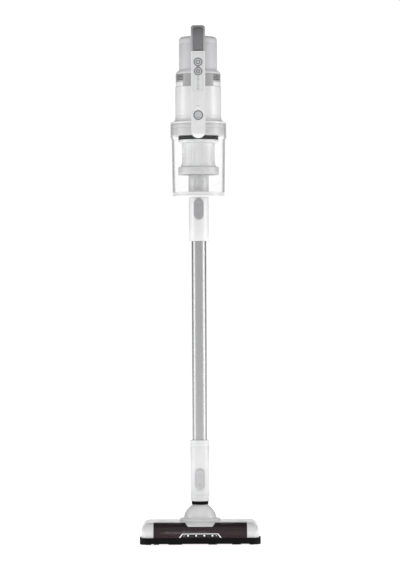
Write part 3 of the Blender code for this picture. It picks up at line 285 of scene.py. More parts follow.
WINDOW_GAP = 0.0005
window_cut = cube_between("window_cut", (window_low.x - WINDOW_GAP, -0.2, 0.0),
                          (window_high.x + WINDOW_GAP, window_high.y + WINDOW_GAP, 0.1))
round_edges(window_cut, along(2, [(1, -0.1, 1)]), 0.006, 8)
carve(cover, window_cut)
bpy.ops.mesh.primitive_cylinder_add(vertices=96, radius=SOCKET_RADIUS + 0.0004, depth=0.1,
                                    location=(0, AXIS_Y, 0.05))
carve(cover, bpy.context.object)
FAN_LOW = 0.0290


def fan_cutter():
    """The wedge behind the swivel that the neck leans back and sweeps through."""
    fan = cube_between("fan", (-0.030, AXIS_Y + 0.002, FAN_LOW), (0.030, AXIS_Y + 0.0565, 0.12))
    widen(fan, lambda point: point.y > AXIS_Y + 0.03, 3.0, (0, AXIS_Y, 0))
    return fan


carve(cover, fan_cutter())
slider_low, slider_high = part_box("brush_release_slider")
SLIDER_TRAVEL = 0.0060
SLIDER_GAP = 0.0004
slot_cut = cube_between("slot", (slider_low.x - SLIDER_GAP, slider_low.y - SLIDER_GAP, 0.03),
                        (slider_high.x + SLIDER_TRAVEL + 0.0006, slider_high.y + SLIDER_GAP, 0.1))
carve(cover, slot_cut)
soften(cover, 0.0007, 3)
dress(cover, white_gloss, "white_shell", "floor_head", "head_cover")

# Release slider: a small ribbed key moulded in satin grey, which slides sideways in the
# cover's slot to let the brush out.
button_grey = moulded("satin_grey_button", (0.50, 0.50, 0.51), 0.38, 2200, 0.00003)
slider = cube_between("brush_release_key", slider_low, slider_high)
for rib in range(3):
    rib_x = slider_low.x + 0.002 + rib * 0.002
    groove = cube_between("groove", (rib_x - 0.0004, slider_low.y - 0.01, slider_high.z - 0.0006),
                          (rib_x + 0.0004, slider_high.y + 0.01, slider_high.z + 0.01))
    carve(slider, groove)
soften(slider, 0.0003, 2)
dress(slider, button_grey, "button_grey", "release_slider", "brush_release_slider")


# Brush window: a curved pane of smoked polycarbonate that snaps into the cover's nose,
# with a thin black seal along its upper edge.
def hazed(surface, scale, low, high):
    """Lets a finish's gloss wander between two roughness values in cloudy patches."""
    tree = surface.node_tree
    place = tree.nodes.new("ShaderNodeTexCoord")
    cloud = tree.nodes.new("ShaderNodeTexNoise")
    cloud.inputs["Scale"].default_value = scale
    gloss = tree.nodes.new("ShaderNodeMapRange")
    gloss.inputs["To Min"].default_value = low
    gloss.inputs["To Max"].default_value = high
    tree.links.new(place.outputs["Object"], cloud.inputs["Vector"])
    tree.links.new(cloud.outputs["Fac"], gloss.inputs["Value"])
    tree.links.new(gloss.outputs["Result"], tree.nodes["Principled BSDF"].inputs["Roughness"])


def solid_at_edge(surface, blend, turn, alpha):
    """Makes a clear plastic more solid where its wall is seen edge on."""
    tree = surface.node_tree
    facing = tree.nodes.new("ShaderNodeLayerWeight")
    facing.inputs["Blend"].default_value = blend
    cover_by = tree.nodes.new("ShaderNodeMapRange")
    for socket, value in zip(("From Min", "From Max", "To Min", "To Max"), (*turn, *alpha)):
        cover_by.inputs[socket].default_value = value
    tree.links.new(facing.outputs["Facing"], cover_by.inputs["Value"])
    tree.links.new(cover_by.outputs["Result"], tree.nodes["Principled BSDF"].inputs["Alpha"])
    return facing


smoked = bpy.data.materials.new("smoked_polycarbonate")
smoked.use_nodes = True
pane_shader = smoked.node_tree.nodes["Principled BSDF"]
pane_shader.inputs["Base Color"].default_value = (0.035, 0.022, 0.026, 1)
pane_shader.inputs["IOR"].default_value = 1.5
pane_shader.inputs["Specular IOR Level"].default_value = 0.6
solid_at_edge(smoked, 0.35, (0, 1), (0.50, 0.98))
hazed(smoked, 60, 0.04, 0.12)

nose_y = cover_low.y + NOSE
nose_z = deck - NOSE


def nose_strip(name, radius, wall, half_width, top_y, low_z):
    """A strip of the head's round nose, from a height up to a line across its top."""
    bpy.ops.object.select_all(action="DESELECT")
    bpy.ops.mesh.primitive_cylinder_add(vertices=160, radius=radius, depth=2 * half_width,
                                        end_fill_type="NOTHING",
                                        location=(0, nose_y, nose_z), rotation=(0, math.pi / 2, 0))
    strip = bpy.context.object
    strip.name = name
    bpy.ops.object.transform_apply(location=True, rotation=True, scale=True)
    bpy.ops.object.mode_set(mode="EDIT")
    bpy.ops.mesh.select_all(action="SELECT")
    bpy.ops.mesh.bisect(plane_co=(0, top_y, 0), plane_no=(0, 1, 0), clear_outer=True)
    bpy.ops.mesh.select_all(action="SELECT")
    bpy.ops.mesh.bisect(plane_co=(0, 0, low_z), plane_no=(0, 0, -1), clear_outer=True)
    bpy.ops.mesh.select_all(action="SELECT")
    bpy.ops.mesh.normals_make_consistent(inside=False)
    bpy.ops.object.mode_set(mode="OBJECT")
    finish_modifier(strip, "SOLIDIFY", thickness=wall, offset=-1.0)
    return strip


half_window = window_high.x
pane_low = cover_low.z + 0.0004
pane = nose_strip("window_pane", NOSE, 0.0020, half_window, window_high.y, pane_low)
pane_outline = cube_between("pane_outline", (-half_window, -0.2, -0.1), (half_window, window_high.y, 0.1))
round_edges(pane_outline, along(2, [(1, -0.1, 1)]), 0.0055, 8)
carve(pane, pane_outline, "INTERSECT")
soften(pane, 0.0004, 2)
dress(pane, smoked, "smoked_window", "floor_head", "brush_window")

black_moulding = moulded("black_moulding", (0.006, 0.006, 0.0065), 0.40, 1800, 0.00004)
black_rubber = moulded("black_rubber", (0.004, 0.004, 0.0042), 0.62, 2600, 0.00006)
black_rubber.node_tree.nodes["Principled BSDF"].inputs["Specular IOR Level"].default_value = 0.10
pane_seal = nose_strip("window_seal", NOSE - 0.0003, 0.0016, half_window - 0.004, window_high.y + 0.0022,
                       0.04)
seal_keep = cube_between("seal_keep", (-0.2, window_high.y - 0.0012, 0), (0.2, window_high.y + 0.0030, 0.1))
carve(pane_seal, seal_keep, "INTERSECT")
smooth(pane_seal)
dress(pane_seal, black_rubber, "black_rubber", "floor_head")

# Shroud: a black inner roof moulded over the brush, with a bar and two upright ribs
# below it, all of which show through the window.
half_shroud = half_window - 0.003
shroud = nose_strip("brush_shroud", NOSE - 0.0036, 0.0010, half_shroud, window_high.y + 0.004, 0.0400)
BAR_LOW, BAR_HIGH = 0.0326, 0.0338
bar = nose_strip("bar", NOSE - 0.0034, 0.0012, half_shroud, nose_y - NOSE + 0.03, BAR_LOW)
carve(bar, cube_between("keep", (-0.2, -0.3, 0), (0.2, 0.3, BAR_HIGH)), "INTERSECT")
carve(shroud, bar, "UNION")
for rib_x in (-0.0652, 0.0652):
    rib = nose_strip("rib", NOSE - 0.0034, 0.0012, 0.0007, window_high.y, 0.0180)
    rib.location.x = rib_x
    bpy.ops.object.transform_apply(location=True, rotation=False, scale=False)
    carve(shroud, rib, "UNION")
soften(shroud, 0.0002, 1)
dress(shroud, black_moulding, "dark_inner", "floor_head")

# Tongue: a white lip of the cover that laps down over the middle of the window in
# front of the swivel, and narrows towards its foot.
TONGUE_FOOT = 0.0392
tongue = nose_strip("cover_tongue", NOSE + 0.0002, 0.0016, 0.0340, window_high.y + 0.0040, TONGUE_FOOT)
tongue_shape = cube_between("tongue_shape", (-0.0345, -0.3, TONGUE_FOOT), (0.0345, 0.3, 0.0495))
widen(tongue_shape, lambda point: point.z < 0.045, 0.76)
carve(tongue, tongue_shape, "INTERSECT")
soften(tongue, 0.0005, 3)
dress(tongue, white_gloss, "white_shell", "floor_head")

# Bumper: a black rubber strip pressed round the front and its corners, with raised
# stretches along its lower edge that let dirt in under the head, and a lip behind it.
bumper_low, bumper_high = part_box("front_bumper")
BUMPER_WALL = 0.0030
bumper_top = bumper_high.z + 0.0006
bumper = cube_between("bumper_strip", bumper_low, (bumper_high.x, bumper_high.y + 0.03, bumper_top))
round_edges(bumper, along(2, [(1, 0, -1)]), 0.0190, 14)
bumper_room = cube_between("bumper_room", (bumper_low.x + BUMPER_WALL, bumper_low.y + BUMPER_WALL, -0.1),
                           (bumper_high.x - BUMPER_WALL, 0.2, 0.1))
round_edges(bumper_room, along(2, [(1, 0, -1)]), 0.0160, 14)
carve(bumper, bumper_room)
carve(bumper, cube_between("bumper_rear", (-0.2, bumper_high.y, -0.1), (0.2, 0.2, 0.1)))
RAISE = 0.0021
RAISED = ((-0.0885, -0.0685), (-0.0390, 0.0172), (0.0360, 0.0680), (0.0870, 0.1050), (-0.1050, -0.1000))
for start_x, end_x in RAISED:
    notch = cube_between("notch", (start_x, -0.2, -0.1), (end_x, bumper_low.y + 0.01, bumper_low.z + RAISE))
    carve(bumper, notch)
for groove_z in (bumper_low.z + 0.0052, bumper_low.z + 0.0098):
    groove = cube_between("groove", (-0.118, bumper_low.y - 0.01, groove_z),
                          (0.118, bumper_low.y + 0.0007, groove_z + 0.0012))
    carve(bumper, groove)
soften(bumper, 0.0005, 2)
dress(bumper, black_rubber, "black_rubber", "floor_head", "front_bumper")
lip_back = bumper_low.y + 0.0100
floor_lip = cube_between("floor_lip", (-0.1000, bumper_low.y + 0.0085, 0.0032), (0.1000, lip_back, 0.0110))
soften(floor_lip, 0.0004, 2)
dress(floor_lip, black_rubber, "black_rubber", "floor_head")

# Headlight module: a black trapezoid set in the window with a thin pale outline, and
# four round lamps and two small sensor dots on its face.
lamp_low, lamp_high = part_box("headlight_bar")
TOP_SHARE = 0.846


def trapezoid(name, low, high, inset):
    """A bar whose upper edge is shorter than its lower one."""
    low_corner = (low[0] + inset, low[1], low[2] + inset)
    bar = cube_between(name, low_corner, (high[0] - inset, high[1], high[2] - inset))
    widen(bar, lambda point: point.z > high[2] - inset - 0.0001, TOP_SHARE)
    return bar


lamp_foot = bumper_top + 0.0004
lamp_y = cover_low.y - 0.0002
lamp_bar = trapezoid("headlight_housing", (lamp_low.x, lamp_y, lamp_foot), lamp_high, 0.0008)
soften(lamp_bar, 0.0004, 2)
dress(lamp_bar, black_moulding, "dark_inner", "floor_head", "headlight_bar")
pale_outline_painted_glow = moulded("pale_line_painted_glow", (0.90, 0.90, 0.90), 0.4, 1500, 0.00001)
painted_glow_shader = pale_outline_painted_glow.node_tree.nodes["Principled BSDF"]
# Painted light: the pale outline glows so that it stays bright white, though it is no lamp.
painted_glow_shader.inputs["Emission Color"].default_value = (1, 1, 1, 1)
painted_glow_shader.inputs["Emission Strength"].default_value = 0.35
outline_front = (lamp_low.x, lamp_y - 0.0009, lamp_foot)
lamp_frame = trapezoid("headlight_outline", outline_front, (lamp_high.x, lamp_y + 0.0012, lamp_high.z), 0)
inside_front = (lamp_low.x, lamp_y - 0.01, lamp_foot - 0.003)
carve(lamp_frame, trapezoid("inside", inside_front, (lamp_high.x, lamp_y + 0.01, lamp_high.z), 0.0010))
smooth(lamp_frame)
dress(lamp_frame, pale_outline_painted_glow, "light_lens", "floor_head")

lamp_lens = bpy.data.materials.new("lamp_lens")
lamp_lens.use_nodes = True
lens_shader = lamp_lens.node_tree.nodes["Principled BSDF"]
lens_shader.inputs["Base Color"].default_value = (0.92, 0.92, 0.90, 1)
lens_shader.inputs["Emission Color"].default_value = (1, 1, 0.97, 1)
lens_shader.inputs["Emission Strength"].default_value = 0.7
hazed(lamp_lens, 900, 0.12, 0.30)
lamp_z = (lamp_foot + lamp_high.z) / 2


def bead(name, radius, at, flatness, segments):
    """A small domed lamp that looks forward."""
    bpy.ops.object.select_all(action="DESELECT")
    bpy.ops.mesh.primitive_uv_sphere_add(segments=segments, ring_count=segments // 2, radius=radius,
                                         location=at,
                                         rotation=(math.pi / 2, 0, 0), scale=(1, 1, flatness))
    lamp = bpy.context.object
    lamp.name = name
    bpy.ops.object.transform_apply(location=True, rotation=True, scale=True)
    bpy.ops.object.shade_smooth()
    return lamp


lamps = [(f"lamp_{n + 1}", (n - 1.5) * 0.0175, 0.0016) for n in range(4)]
# The two sensor dots take the glowing lamp material too: their glow is painted light, as they are no lamps.
lamps += [("sensor_dot_1", -0.0345, 0.0007), ("sensor_dot_2", 0.0345, 0.0007)]
for name, x, radius in lamps:
    lamp = bead(name, radius, (x, lamp_y - 0.0002, lamp_z), 0.45, 32)
    stands_for = ["headlight_lens"] if name == "lamp_1" else []
    dress(lamp, lamp_lens, "light_lens", "floor_head", *stands_for)

# Brush pile: a burgundy fleece sleeve wound in a chevron of ridges and glued round the
# black core, with which it turns.
pile = moulded("burgundy_pile", (0.24, 0.025, 0.05), 0.92, 1500, 0.0004, spread=0.05)
pile.node_tree.nodes["Principled BSDF"].inputs["Sheen Weight"].default_value = 0.6
pile_low, pile_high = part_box("brush_fleece")
pile_y, pile_z = (pile_low.y + pile_high.y) / 2, (pile_low.z + pile_high.z) / 2
PILE_RADIUS = (pile_high.z - pile_low.z) / 2 - 0.0020
PILE_SLICES = 64
RIDGE_SIDES = 60
bpy.ops.object.select_all(action="DESELECT")
bpy.ops.mesh.primitive_circle_add(vertices=RIDGE_SIDES, radius=PILE_RADIUS,
                                  location=(pile_low.x, pile_y, pile_z),
                                  rotation=(0, math.pi / 2, 0))
fleece = bpy.context.object
fleece.name = "brush_pile"
bpy.ops.object.transform_apply(location=True, rotation=True, scale=True)
for index, vertex in enumerate(fleece.data.vertices):
    vertex.select = index % 12 >= 6
bpy.ops.object.mode_set(mode="EDIT")
bpy.ops.transform.resize(value=(1, 0.80, 0.80), center_override=(pile_low.x, pile_y, pile_z))
bpy.ops.mesh.select_all(action="SELECT")
slice_run = (pile_high.x - pile_low.x) / PILE_SLICES
for index in range(PILE_SLICES):
    turn = 0.052 if index < PILE_SLICES / 2 else -0.052
    bpy.ops.mesh.extrude_region_move(TRANSFORM_OT_translate={"value": (slice_run, 0, 0)})
    bpy.ops.transform.rotate(value=turn, orient_axis="X", center_override=(0, pile_y, pile_z))
bpy.ops.mesh.select_all(action="SELECT")
bpy.ops.mesh.normals_make_consistent(inside=False)
bpy.ops.object.mode_set(mode="OBJECT")
finish_modifier(fleece, "SOLIDIFY", thickness=0.0045, offset=-1.0)
bpy.ops.object.shade_smooth()
nap = bpy.data.textures.new("nap", "CLOUDS")
nap.noise_scale = 0.0022
finish_modifier(fleece, "DISPLACE", texture=nap, strength=0.0006, mid_level=1.0, texture_coords="LOCAL")
dress(fleece, pile, "brush_pile", "brush_roll", "brush_fleece")

# Wheels: rear wheels with a grooved rubber tyre on a hub, and small front rollers in
# grey plastic. Each turns on a plain pin.
wheel_hub = moulded("grey_hub", (0.36, 0.36, 0.37), 0.45, 1900, 0.00004)


def turn_profile(name, profile, sides=96, centre=None):
    """Draws a ring at the profile's first (radius, height) and pulls it through the others."""
    across, along_y = centre or (0, AXIS_Y)
    bpy.ops.object.select_all(action="DESELECT")
    radius, height = profile[0]
    bpy.ops.mesh.primitive_circle_add(vertices=sides, radius=max(radius, 0.001),
                                      location=(across, along_y, height))
    piece = bpy.context.object
    piece.name = name
    bpy.ops.object.transform_apply(location=True, rotation=True, scale=True)
    bpy.ops.object.mode_set(mode="EDIT")
    bpy.ops.mesh.select_all(action="SELECT")
    now = max(radius, 0.001)
    if radius < 0.0001:
        bpy.ops.transform.resize(value=(0.001, 0.001, 1), center_override=(across, along_y, height))
        now = 0.000001
    for radius, next_height in profile[1:]:
        radius = max(radius, 0.000001)
        bpy.ops.mesh.extrude_region_move(TRANSFORM_OT_translate={"value": (0, 0, next_height - height)})
        bpy.ops.transform.resize(value=(radius / now, radius / now, 1),
                                 center_override=(across, along_y, next_height))
        now, height = radius, next_height
    bpy.ops.mesh.select_all(action="SELECT")
    bpy.ops.mesh.remove_doubles(threshold=0.000008)
    bpy.ops.mesh.normals_make_consistent(inside=False)
    bpy.ops.object.mode_set(mode="OBJECT")
    return piece


def plain_ring(name, inner, outer, low_z, high_z, sides):
    """A ring with a plain four-sided section."""
    section = [(inner, low_z), (outer, low_z), (outer, high_z), (inner, high_z), (inner, low_z)]
    return turn_profile(name, section, sides)


def steps_from(radius, height, *steps):
    """Profile points given as steps out from a radius and up from a height."""
    return [(radius + out, height + up) for out, up in steps]


def lay_along_x(piece, at):
    """Turns a piece made upright at the origin so that its axis lies along X at a place."""
    select_only(piece)
    piece.rotation_euler = (0, math.pi / 2, 0)
    piece.location = at
    bpy.ops.object.transform_apply(location=True, rotation=True, scale=True)


for node in ("rear_wheel_left", "rear_wheel_right", "front_roller_left", "front_roller_right"):
    low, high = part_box(node)
    radius = (high.z - low.z) / 2
    reach = (high.x - low.x) / 2
    half = reach - 0.0028
    axle = 0.0017 if "rear" in node else 0.0011
    rim = radius * 0.62
    tread = [(axle, -reach), (axle, -half), (rim, -half), (rim + 0.0004, -half - 0.0002)]
    tread += [(radius - 0.0010, -half), (radius, -half + 0.0010)]
    for groove in (-0.33, 0.0, 0.33):
        middle = groove * half
        tread += steps_from(radius, middle, (0, -0.0005), (-0.0005, -0.0003), (-0.0005, 0.0003), (0, 0.0005))
    tread += [(radius, half - 0.0010), (radius - 0.0010, half), (rim + 0.0004, half + 0.0002), (rim, half)]
    tread += [(axle, half), (axle, reach)]
    wheel = turn_profile(node + "_tyre", [(0, -reach)] + tread + [(0, reach)], 64, (0, 0))
    lay_along_x(wheel, (low + high) / 2)
    smooth(wheel)
    if "rear" in node:
        dress(wheel, black_rubber, "black_rubber", node, node)
    else:
        dress(wheel, wheel_hub, "button_grey", node, node)

# Swivel: a white collar moulded on the head, a white ring that tips in it, and the
# white ball of the neck, whose skirt closes down to the ring.
COLLAR_BORE = SOCKET_RADIUS - 0.0034
collar_profile = [(COLLAR_BORE, socket_low.z), (SOCKET_RADIUS, socket_low.z), (SOCKET_RADIUS, deck - 0.0010)]
FLARE = 0.0040
flare_rise = socket_high.z - deck - 0.0004
for step in range(9):
    turn = math.radians(90 * step / 8)
    out_to = SOCKET_RADIUS + FLARE - FLARE * math.sin(turn)
    collar_profile.append((out_to, deck - 0.0006 + flare_rise * (1 - math.cos(turn))))
collar_profile += steps_from(SOCKET_RADIUS, socket_high.z, (-0.0008, -0.0002), (-0.0024, 0),
                             (-0.0034, -0.0012))
collar_profile.append((COLLAR_BORE, socket_low.z))
head_collar = turn_profile("swivel_collar", collar_profile, 128)
carve(head_collar, fan_cutter())
soften(head_collar, 0.0005, 2, 40)
dress(head_collar, white_gloss, "white_shell", "floor_head", "swivel_socket")

ring_low, ring_high, ring_radius = round_box("swivel_ring")
tip_ring = plain_ring("tipping_ring", ring_radius - 0.0030, ring_radius, ring_low.z, ring_high.z, 128)
soften(tip_ring, 0.0008, 3, 40)
dress(tip_ring, white_gloss, "white_shell", "swivel", "swivel_ring")

connector_low, connector_high, collar_radius = round_box("neck_connector")
BALL_RADIUS = round_box("neck_ball")[2]
BALL_BORE = BALL_RADIUS - 0.0032
ball_z = (ring_low.z + ring_high.z) / 2
NECK_TUBE = 0.0164
ball_profile = []
low_turn = -math.acos(0.0130 / BALL_RADIUS)
high_turn = math.acos(NECK_TUBE / BALL_RADIUS)
for step in range(29):
    turn = low_turn + (high_turn - low_turn) * step / 28
    ball_profile.append((BALL_RADIUS * math.cos(turn), ball_z + BALL_RADIUS * math.sin(turn)))
for step in range(17):
    turn = high_turn + (low_turn - high_turn) * step / 16
    ball_profile.append((BALL_BORE * math.cos(turn), ball_z + BALL_BORE * math.sin(turn)))
ball_profile.append(ball_profile[0])
neck_ball = turn_profile("neck_dome", ball_profile, 96)
smooth(neck_ball)
dress(neck_ball, white_gloss, "white_shell", "neck", "neck_ball")

# Neck tube: the seal band, the white collar with its parting line, and the spigot that
# the wand slides over.
seal_low, seal_high, band_radius = round_box("neck_seal")
band = [(NECK_TUBE, seal_low.z)]
band += steps_from(band_radius, seal_low.z, (0, 0), (0, 0.0020), (-0.0006, 0.0025), (-0.0006, 0.0035),
                   (0, 0.0040))
band += [(band_radius, seal_high.z), (NECK_TUBE, seal_high.z), (NECK_TUBE, seal_low.z)]
seal_band = turn_profile("neck_seal_band", band, 96)
soften(seal_band, 0.0003, 2)
dress(seal_band, black_rubber, "black_rubber", "neck", "neck_seal")

SPIGOT, SPIGOT_BORE, SPIGOT_FOOT = 0.0183, 0.0143, 0.0161
collar_low = seal_high.z + 0.0003
sleeve_low, sleeve_high, sleeve_radius = round_box("lower_sleeve")
collar_top = sleeve_low.z - 0.0003
line_z = collar_low + 0.0048
tube_line = [(SPIGOT_BORE, connector_low.z), (SPIGOT_FOOT, connector_low.z), (SPIGOT_FOOT, collar_low)]
tube_line += [(collar_radius, collar_low)]
tube_line += steps_from(collar_radius, line_z, (0, 0), (-0.0005, 0.0003), (-0.0005, 0.0007), (0, 0.0010))
tube_line += [(collar_radius, collar_top), (SPIGOT, collar_top), (SPIGOT, connector_high.z)]
tube_line += [(SPIGOT_BORE, connector_high.z), (SPIGOT_BORE, connector_low.z)]
neck_tube = turn_profile("neck_tube", tube_line, 96)
pill_low, pill_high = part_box("lower_release_button")


def pill_solid(name, low, high, front, back, grow=0.0):
    """An upright pill, as wide and tall as a node's box, between two depths."""
    pill = cube_between(name, (low.x - grow, front, low.z - grow), (high.x + grow, back, high.z + grow))
    round_edges(pill, along(1), (high.x - low.x) / 2 + grow - 0.00002, 16)
    return pill


CLEARANCE = 0.0003
carve(neck_tube, pill_solid("latch_pocket", pill_low, pill_high, -0.2, AXIS_Y, CLEARANCE))
soften(neck_tube, 0.0004, 2)
dress(neck_tube, white_gloss, "white_shell", "neck", "neck_connector")

# Wand: a satin anodised aluminium tube with fine drawing lines along it, held in two
# white sleeves, each with a sprung grey button in an oval recess.
GRAIN = 500
satin_tube = moulded("satin_anodised_tube", (0.47, 0.47, 0.475), 0.34, GRAIN, 0.00002, spread=0.05,
                     metallic=0.9)
tube_tree = satin_tube.node_tree
stretch = tube_tree.nodes.new("ShaderNodeMapping")
stretch.inputs["Scale"].default_value = (3, 3, 0.02)
for link in list(tube_tree.links):
    if link.from_socket.name == "Object" and link.to_node.inputs["Scale"].default_value == GRAIN:
        tube_tree.links.new(link.from_socket, stretch.inputs["Vector"])
        tube_tree.links.new(stretch.outputs["Vector"], link.to_socket)
tube_radius = (wand_high.x - wand_low.x) / 2
wand_tube = plain_ring("wand_pipe", tube_radius - 0.0011, tube_radius, wand_low.z, wand_high.z, 96)
soften(wand_tube, 0.0002, 1)
dress(wand_tube, satin_tube, "satin_tube", "wand", "wand_tube")

BORE = 0.0186
TUBE_BORE = tube_radius + CLEARANCE


def sleeve(name, profile, node, button, radius):
    """Turns a sleeve and cuts its button's opening, with a shallow oval dish round it."""
    piece = turn_profile(name, profile, 96)
    low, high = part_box(button)
    face = AXIS_Y - radius
    carve(piece, pill_solid("dish", low, high, face - 0.01, face + 0.0009, 0.0020))
    carve(piece, pill_solid("window", low, high, -0.3, AXIS_Y, CLEARANCE))
    soften(piece, 0.0005, 2)
    dress(piece, white_gloss, "white_shell", "wand", node)


wall_line = [(BORE, sleeve_low.z), (sleeve_radius, sleeve_low.z)]
for groove in (-0.0135, -0.0068):
    wall_line += steps_from(sleeve_radius, sleeve_high.z + groove, (0, 0), (-0.0003, 0.0003),
                            (-0.0003, 0.0009), (0, 0.0012))
wall_line += [(sleeve_radius, sleeve_high.z), (TUBE_BORE, sleeve_high.z), (TUBE_BORE, wand_low.z - 0.0003)]
wall_line += [(BORE, wand_low.z - 0.0033), (BORE, sleeve_low.z)]
sleeve("lower_wand_sleeve", wall_line, "lower_sleeve", "lower_release_button", sleeve_radius)
upper_low, upper_high, upper_radius = round_box("upper_sleeve")
wall_line = [(TUBE_BORE, upper_low.z), (upper_radius, upper_low.z), (upper_radius, upper_high.z),
             (BORE, upper_high.z)]
wall_line += [(BORE, wand_high.z + 0.0033), (TUBE_BORE, wand_high.z + 0.0003), (TUBE_BORE, upper_low.z)]
sleeve("upper_wand_sleeve", wall_line, "upper_sleeve", "upper_release_button", upper_radius)

upper_grey = moulded("mid_grey_button", (0.34, 0.34, 0.35), 0.36, 2200, 0.00003)
lower_grey = moulded("light_grey_button", (0.56, 0.56, 0.57), 0.36, 2200, 0.00003)
for place, grey in (("lower", lower_grey), ("upper", upper_grey)):
    node = place + "_release_button"
    low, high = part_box(node)
    key = pill_solid(node + "_key", low, high, low.y, AXIS_Y - BORE + 0.004)
    bpy.ops.mesh.primitive_cylinder_add(vertices=96, radius=BORE + CLEARANCE, depth=0.3,
                                        location=(0, AXIS_Y, (low.z + high.z) / 2))
    carve(key, bpy.context.object)
    for dent, at in ((0.0175, (0, low.y - 0.0163, high.z - 0.0110)),
                     (0.0052, (0, low.y - 0.0040, low.z + 0.0105))):
        bpy.ops.mesh.primitive_uv_sphere_add(segments=48, ring_count=24, radius=dent, location=at)
        carve(key, bpy.context.object)
    soften(key, 0.0007, 3)
    dress(key, grey, "button_grey", place + "_button", node)

# Dust cup base: a frosted white lid with a stepped rim and a collar that slides over
# the wand's spigot.
cup_base_low, base_radius = round_box("cup_base")[::2]
frosted = moulded("frosted_white_plastic", (0.74, 0.74, 0.745), 0.34, 1100, 0.00002)
cup_low, cup_high, BAND_RADIUS = round_box("dust_cup")
lid_z = cup_low.z - 0.0110
LID_BORE = BORE - 0.0030
base_line = [(LID_BORE, cup_base_low.z), (BORE - 0.0003, cup_base_low.z), (BORE - 0.0003, lid_z)]
base_line += steps_from(base_radius, lid_z, (-0.0022, 0), (0, 0.0022), (0, 0.0052), (-0.0010, 0.0056),
                        (-0.0010, 0.0064))
base_line += steps_from(base_radius, lid_z, (0, 0.0068), (0, 0.0107), (-0.0030, 0.0107), (-0.0038, 0.0050))
base_line += [(LID_BORE, lid_z + 0.0050), (LID_BORE, cup_base_low.z)]
cup_lid = turn_profile("cup_base_lid", base_line, 128)
upper_pill_low, upper_pill_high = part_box("upper_release_button")
carve(cup_lid, pill_solid("latch_pocket", upper_pill_low, upper_pill_high, -0.2, AXIS_Y, CLEARANCE))
soften(cup_lid, 0.0006, 2)
dress(cup_lid, frosted, "white_shell", "cup", "cup_base")

# Dust cup: a clear, slightly tapered polycarbonate cup, moulded in one with the thicker
# band round its mouth.
clear_cup = bpy.data.materials.new("clear_polycarbonate")
clear_cup.use_nodes = True
cup_tree = clear_cup.node_tree
cup_shader = cup_tree.nodes["Principled BSDF"]
# Painted shade: the wall's colour runs from pale grey face on to dark grey edge on, standing in for the dark
# edges that refraction gives the clear wall.
cup_edge_painted_shade = cup_tree.nodes.new("ShaderNodeMix")
cup_edge_painted_shade.data_type = "RGBA"
cup_edge_painted_shade.inputs["A"].default_value = (0.82, 0.83, 0.84, 1)
cup_edge_painted_shade.inputs["B"].default_value = (0.16, 0.16, 0.17, 1)
cup_shader.inputs["IOR"].default_value = 1.49
cup_shader.inputs["Specular IOR Level"].default_value = 0.5
cup_facing = solid_at_edge(clear_cup, 0.5, (0.58, 0.86), (0.025, 0.62))
cup_tree.links.new(cup_facing.outputs["Facing"], cup_edge_painted_shade.inputs["Factor"])
cup_tree.links.new(cup_edge_painted_shade.outputs["Result"], cup_shader.inputs["Base Color"])
hazed(clear_cup, 45, 0.03, 0.09)
BAND_LOW = cup_high.z - 0.0320
FOOT_RADIUS, NECK_RADIUS, CUP_WALL = 0.0567, 0.0583, 0.0020
cup_line = [(FOOT_RADIUS - CUP_WALL, cup_low.z), (FOOT_RADIUS, cup_low.z),
            (FOOT_RADIUS + 0.0002, cup_low.z + 0.0024)]
cup_line += steps_from(NECK_RADIUS, BAND_LOW, (0, -0.0030), (0.0006, -0.0010))
cup_line += steps_from(BAND_RADIUS, BAND_LOW, (-0.0004, 0), (0, 0.0006))
cup_line += [(BAND_RADIUS, cup_high.z), (BAND_RADIUS - CUP_WALL, cup_high.z),
             (BAND_RADIUS - CUP_WALL, BAND_LOW + 0.0028)]
cup_line += [(NECK_RADIUS - CUP_WALL, BAND_LOW - 0.0034), (FOOT_RADIUS - CUP_WALL, cup_low.z)]
clear_wall = turn_profile("clear_cup_wall", cup_line, 160)
soften(clear_wall, 0.0003, 2)
dress(clear_wall, clear_cup, "clear_cup", "cup", "dust_cup")

# Inlet pipe: a white pipe that stands in the cup on a flared foot, with three groups
# of five fine slits cut through its wall.
pipe_low, pipe_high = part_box("inlet_pipe")
PIPE_RADIUS, FOOT_BORE = 0.0220, 0.0188
PIPE_BORE = PIPE_RADIUS - 0.0018
pipe_line = steps_from(0.0256, pipe_low.z, (FOOT_BORE - 0.0256, 0), (0, 0), (0, 0.0022))
pipe_line += [(PIPE_RADIUS, pipe_low.z + 0.0060), (PIPE_RADIUS, pipe_high.z), (PIPE_BORE, pipe_high.z)]
pipe_line += [(PIPE_BORE, pipe_low.z + 0.0060), (FOOT_BORE, pipe_low.z)]
inlet = turn_profile("cup_inlet_pipe", pipe_line, 96)
SLITS = ((0, 0, 0.0105), (15, 7, 0.0130), (-15, -7, 0.0130), (26, 4, 0.0090), (-26, -4, 0.0090))
for third in (0, 120, 240):
    for turn, lean, half_slit in SLITS:
        slit = cube_between("slit", (-0.0003, -0.03, -half_slit), (0.0003, -0.010, half_slit))
        slit.rotation_euler = (0, math.radians(lean), 0)
        bpy.ops.object.transform_apply(location=False, rotation=True, scale=False)
        slit.rotation_euler = (0, 0, math.radians(third + turn))
        slit.location = (0, AXIS_Y, (pipe_low.z + pipe_high.z) / 2)
        carve(inlet, slit)
soften(inlet, 0.0004, 2)
dress(inlet, white_gloss, "white_shell", "cup", "inlet_pipe")

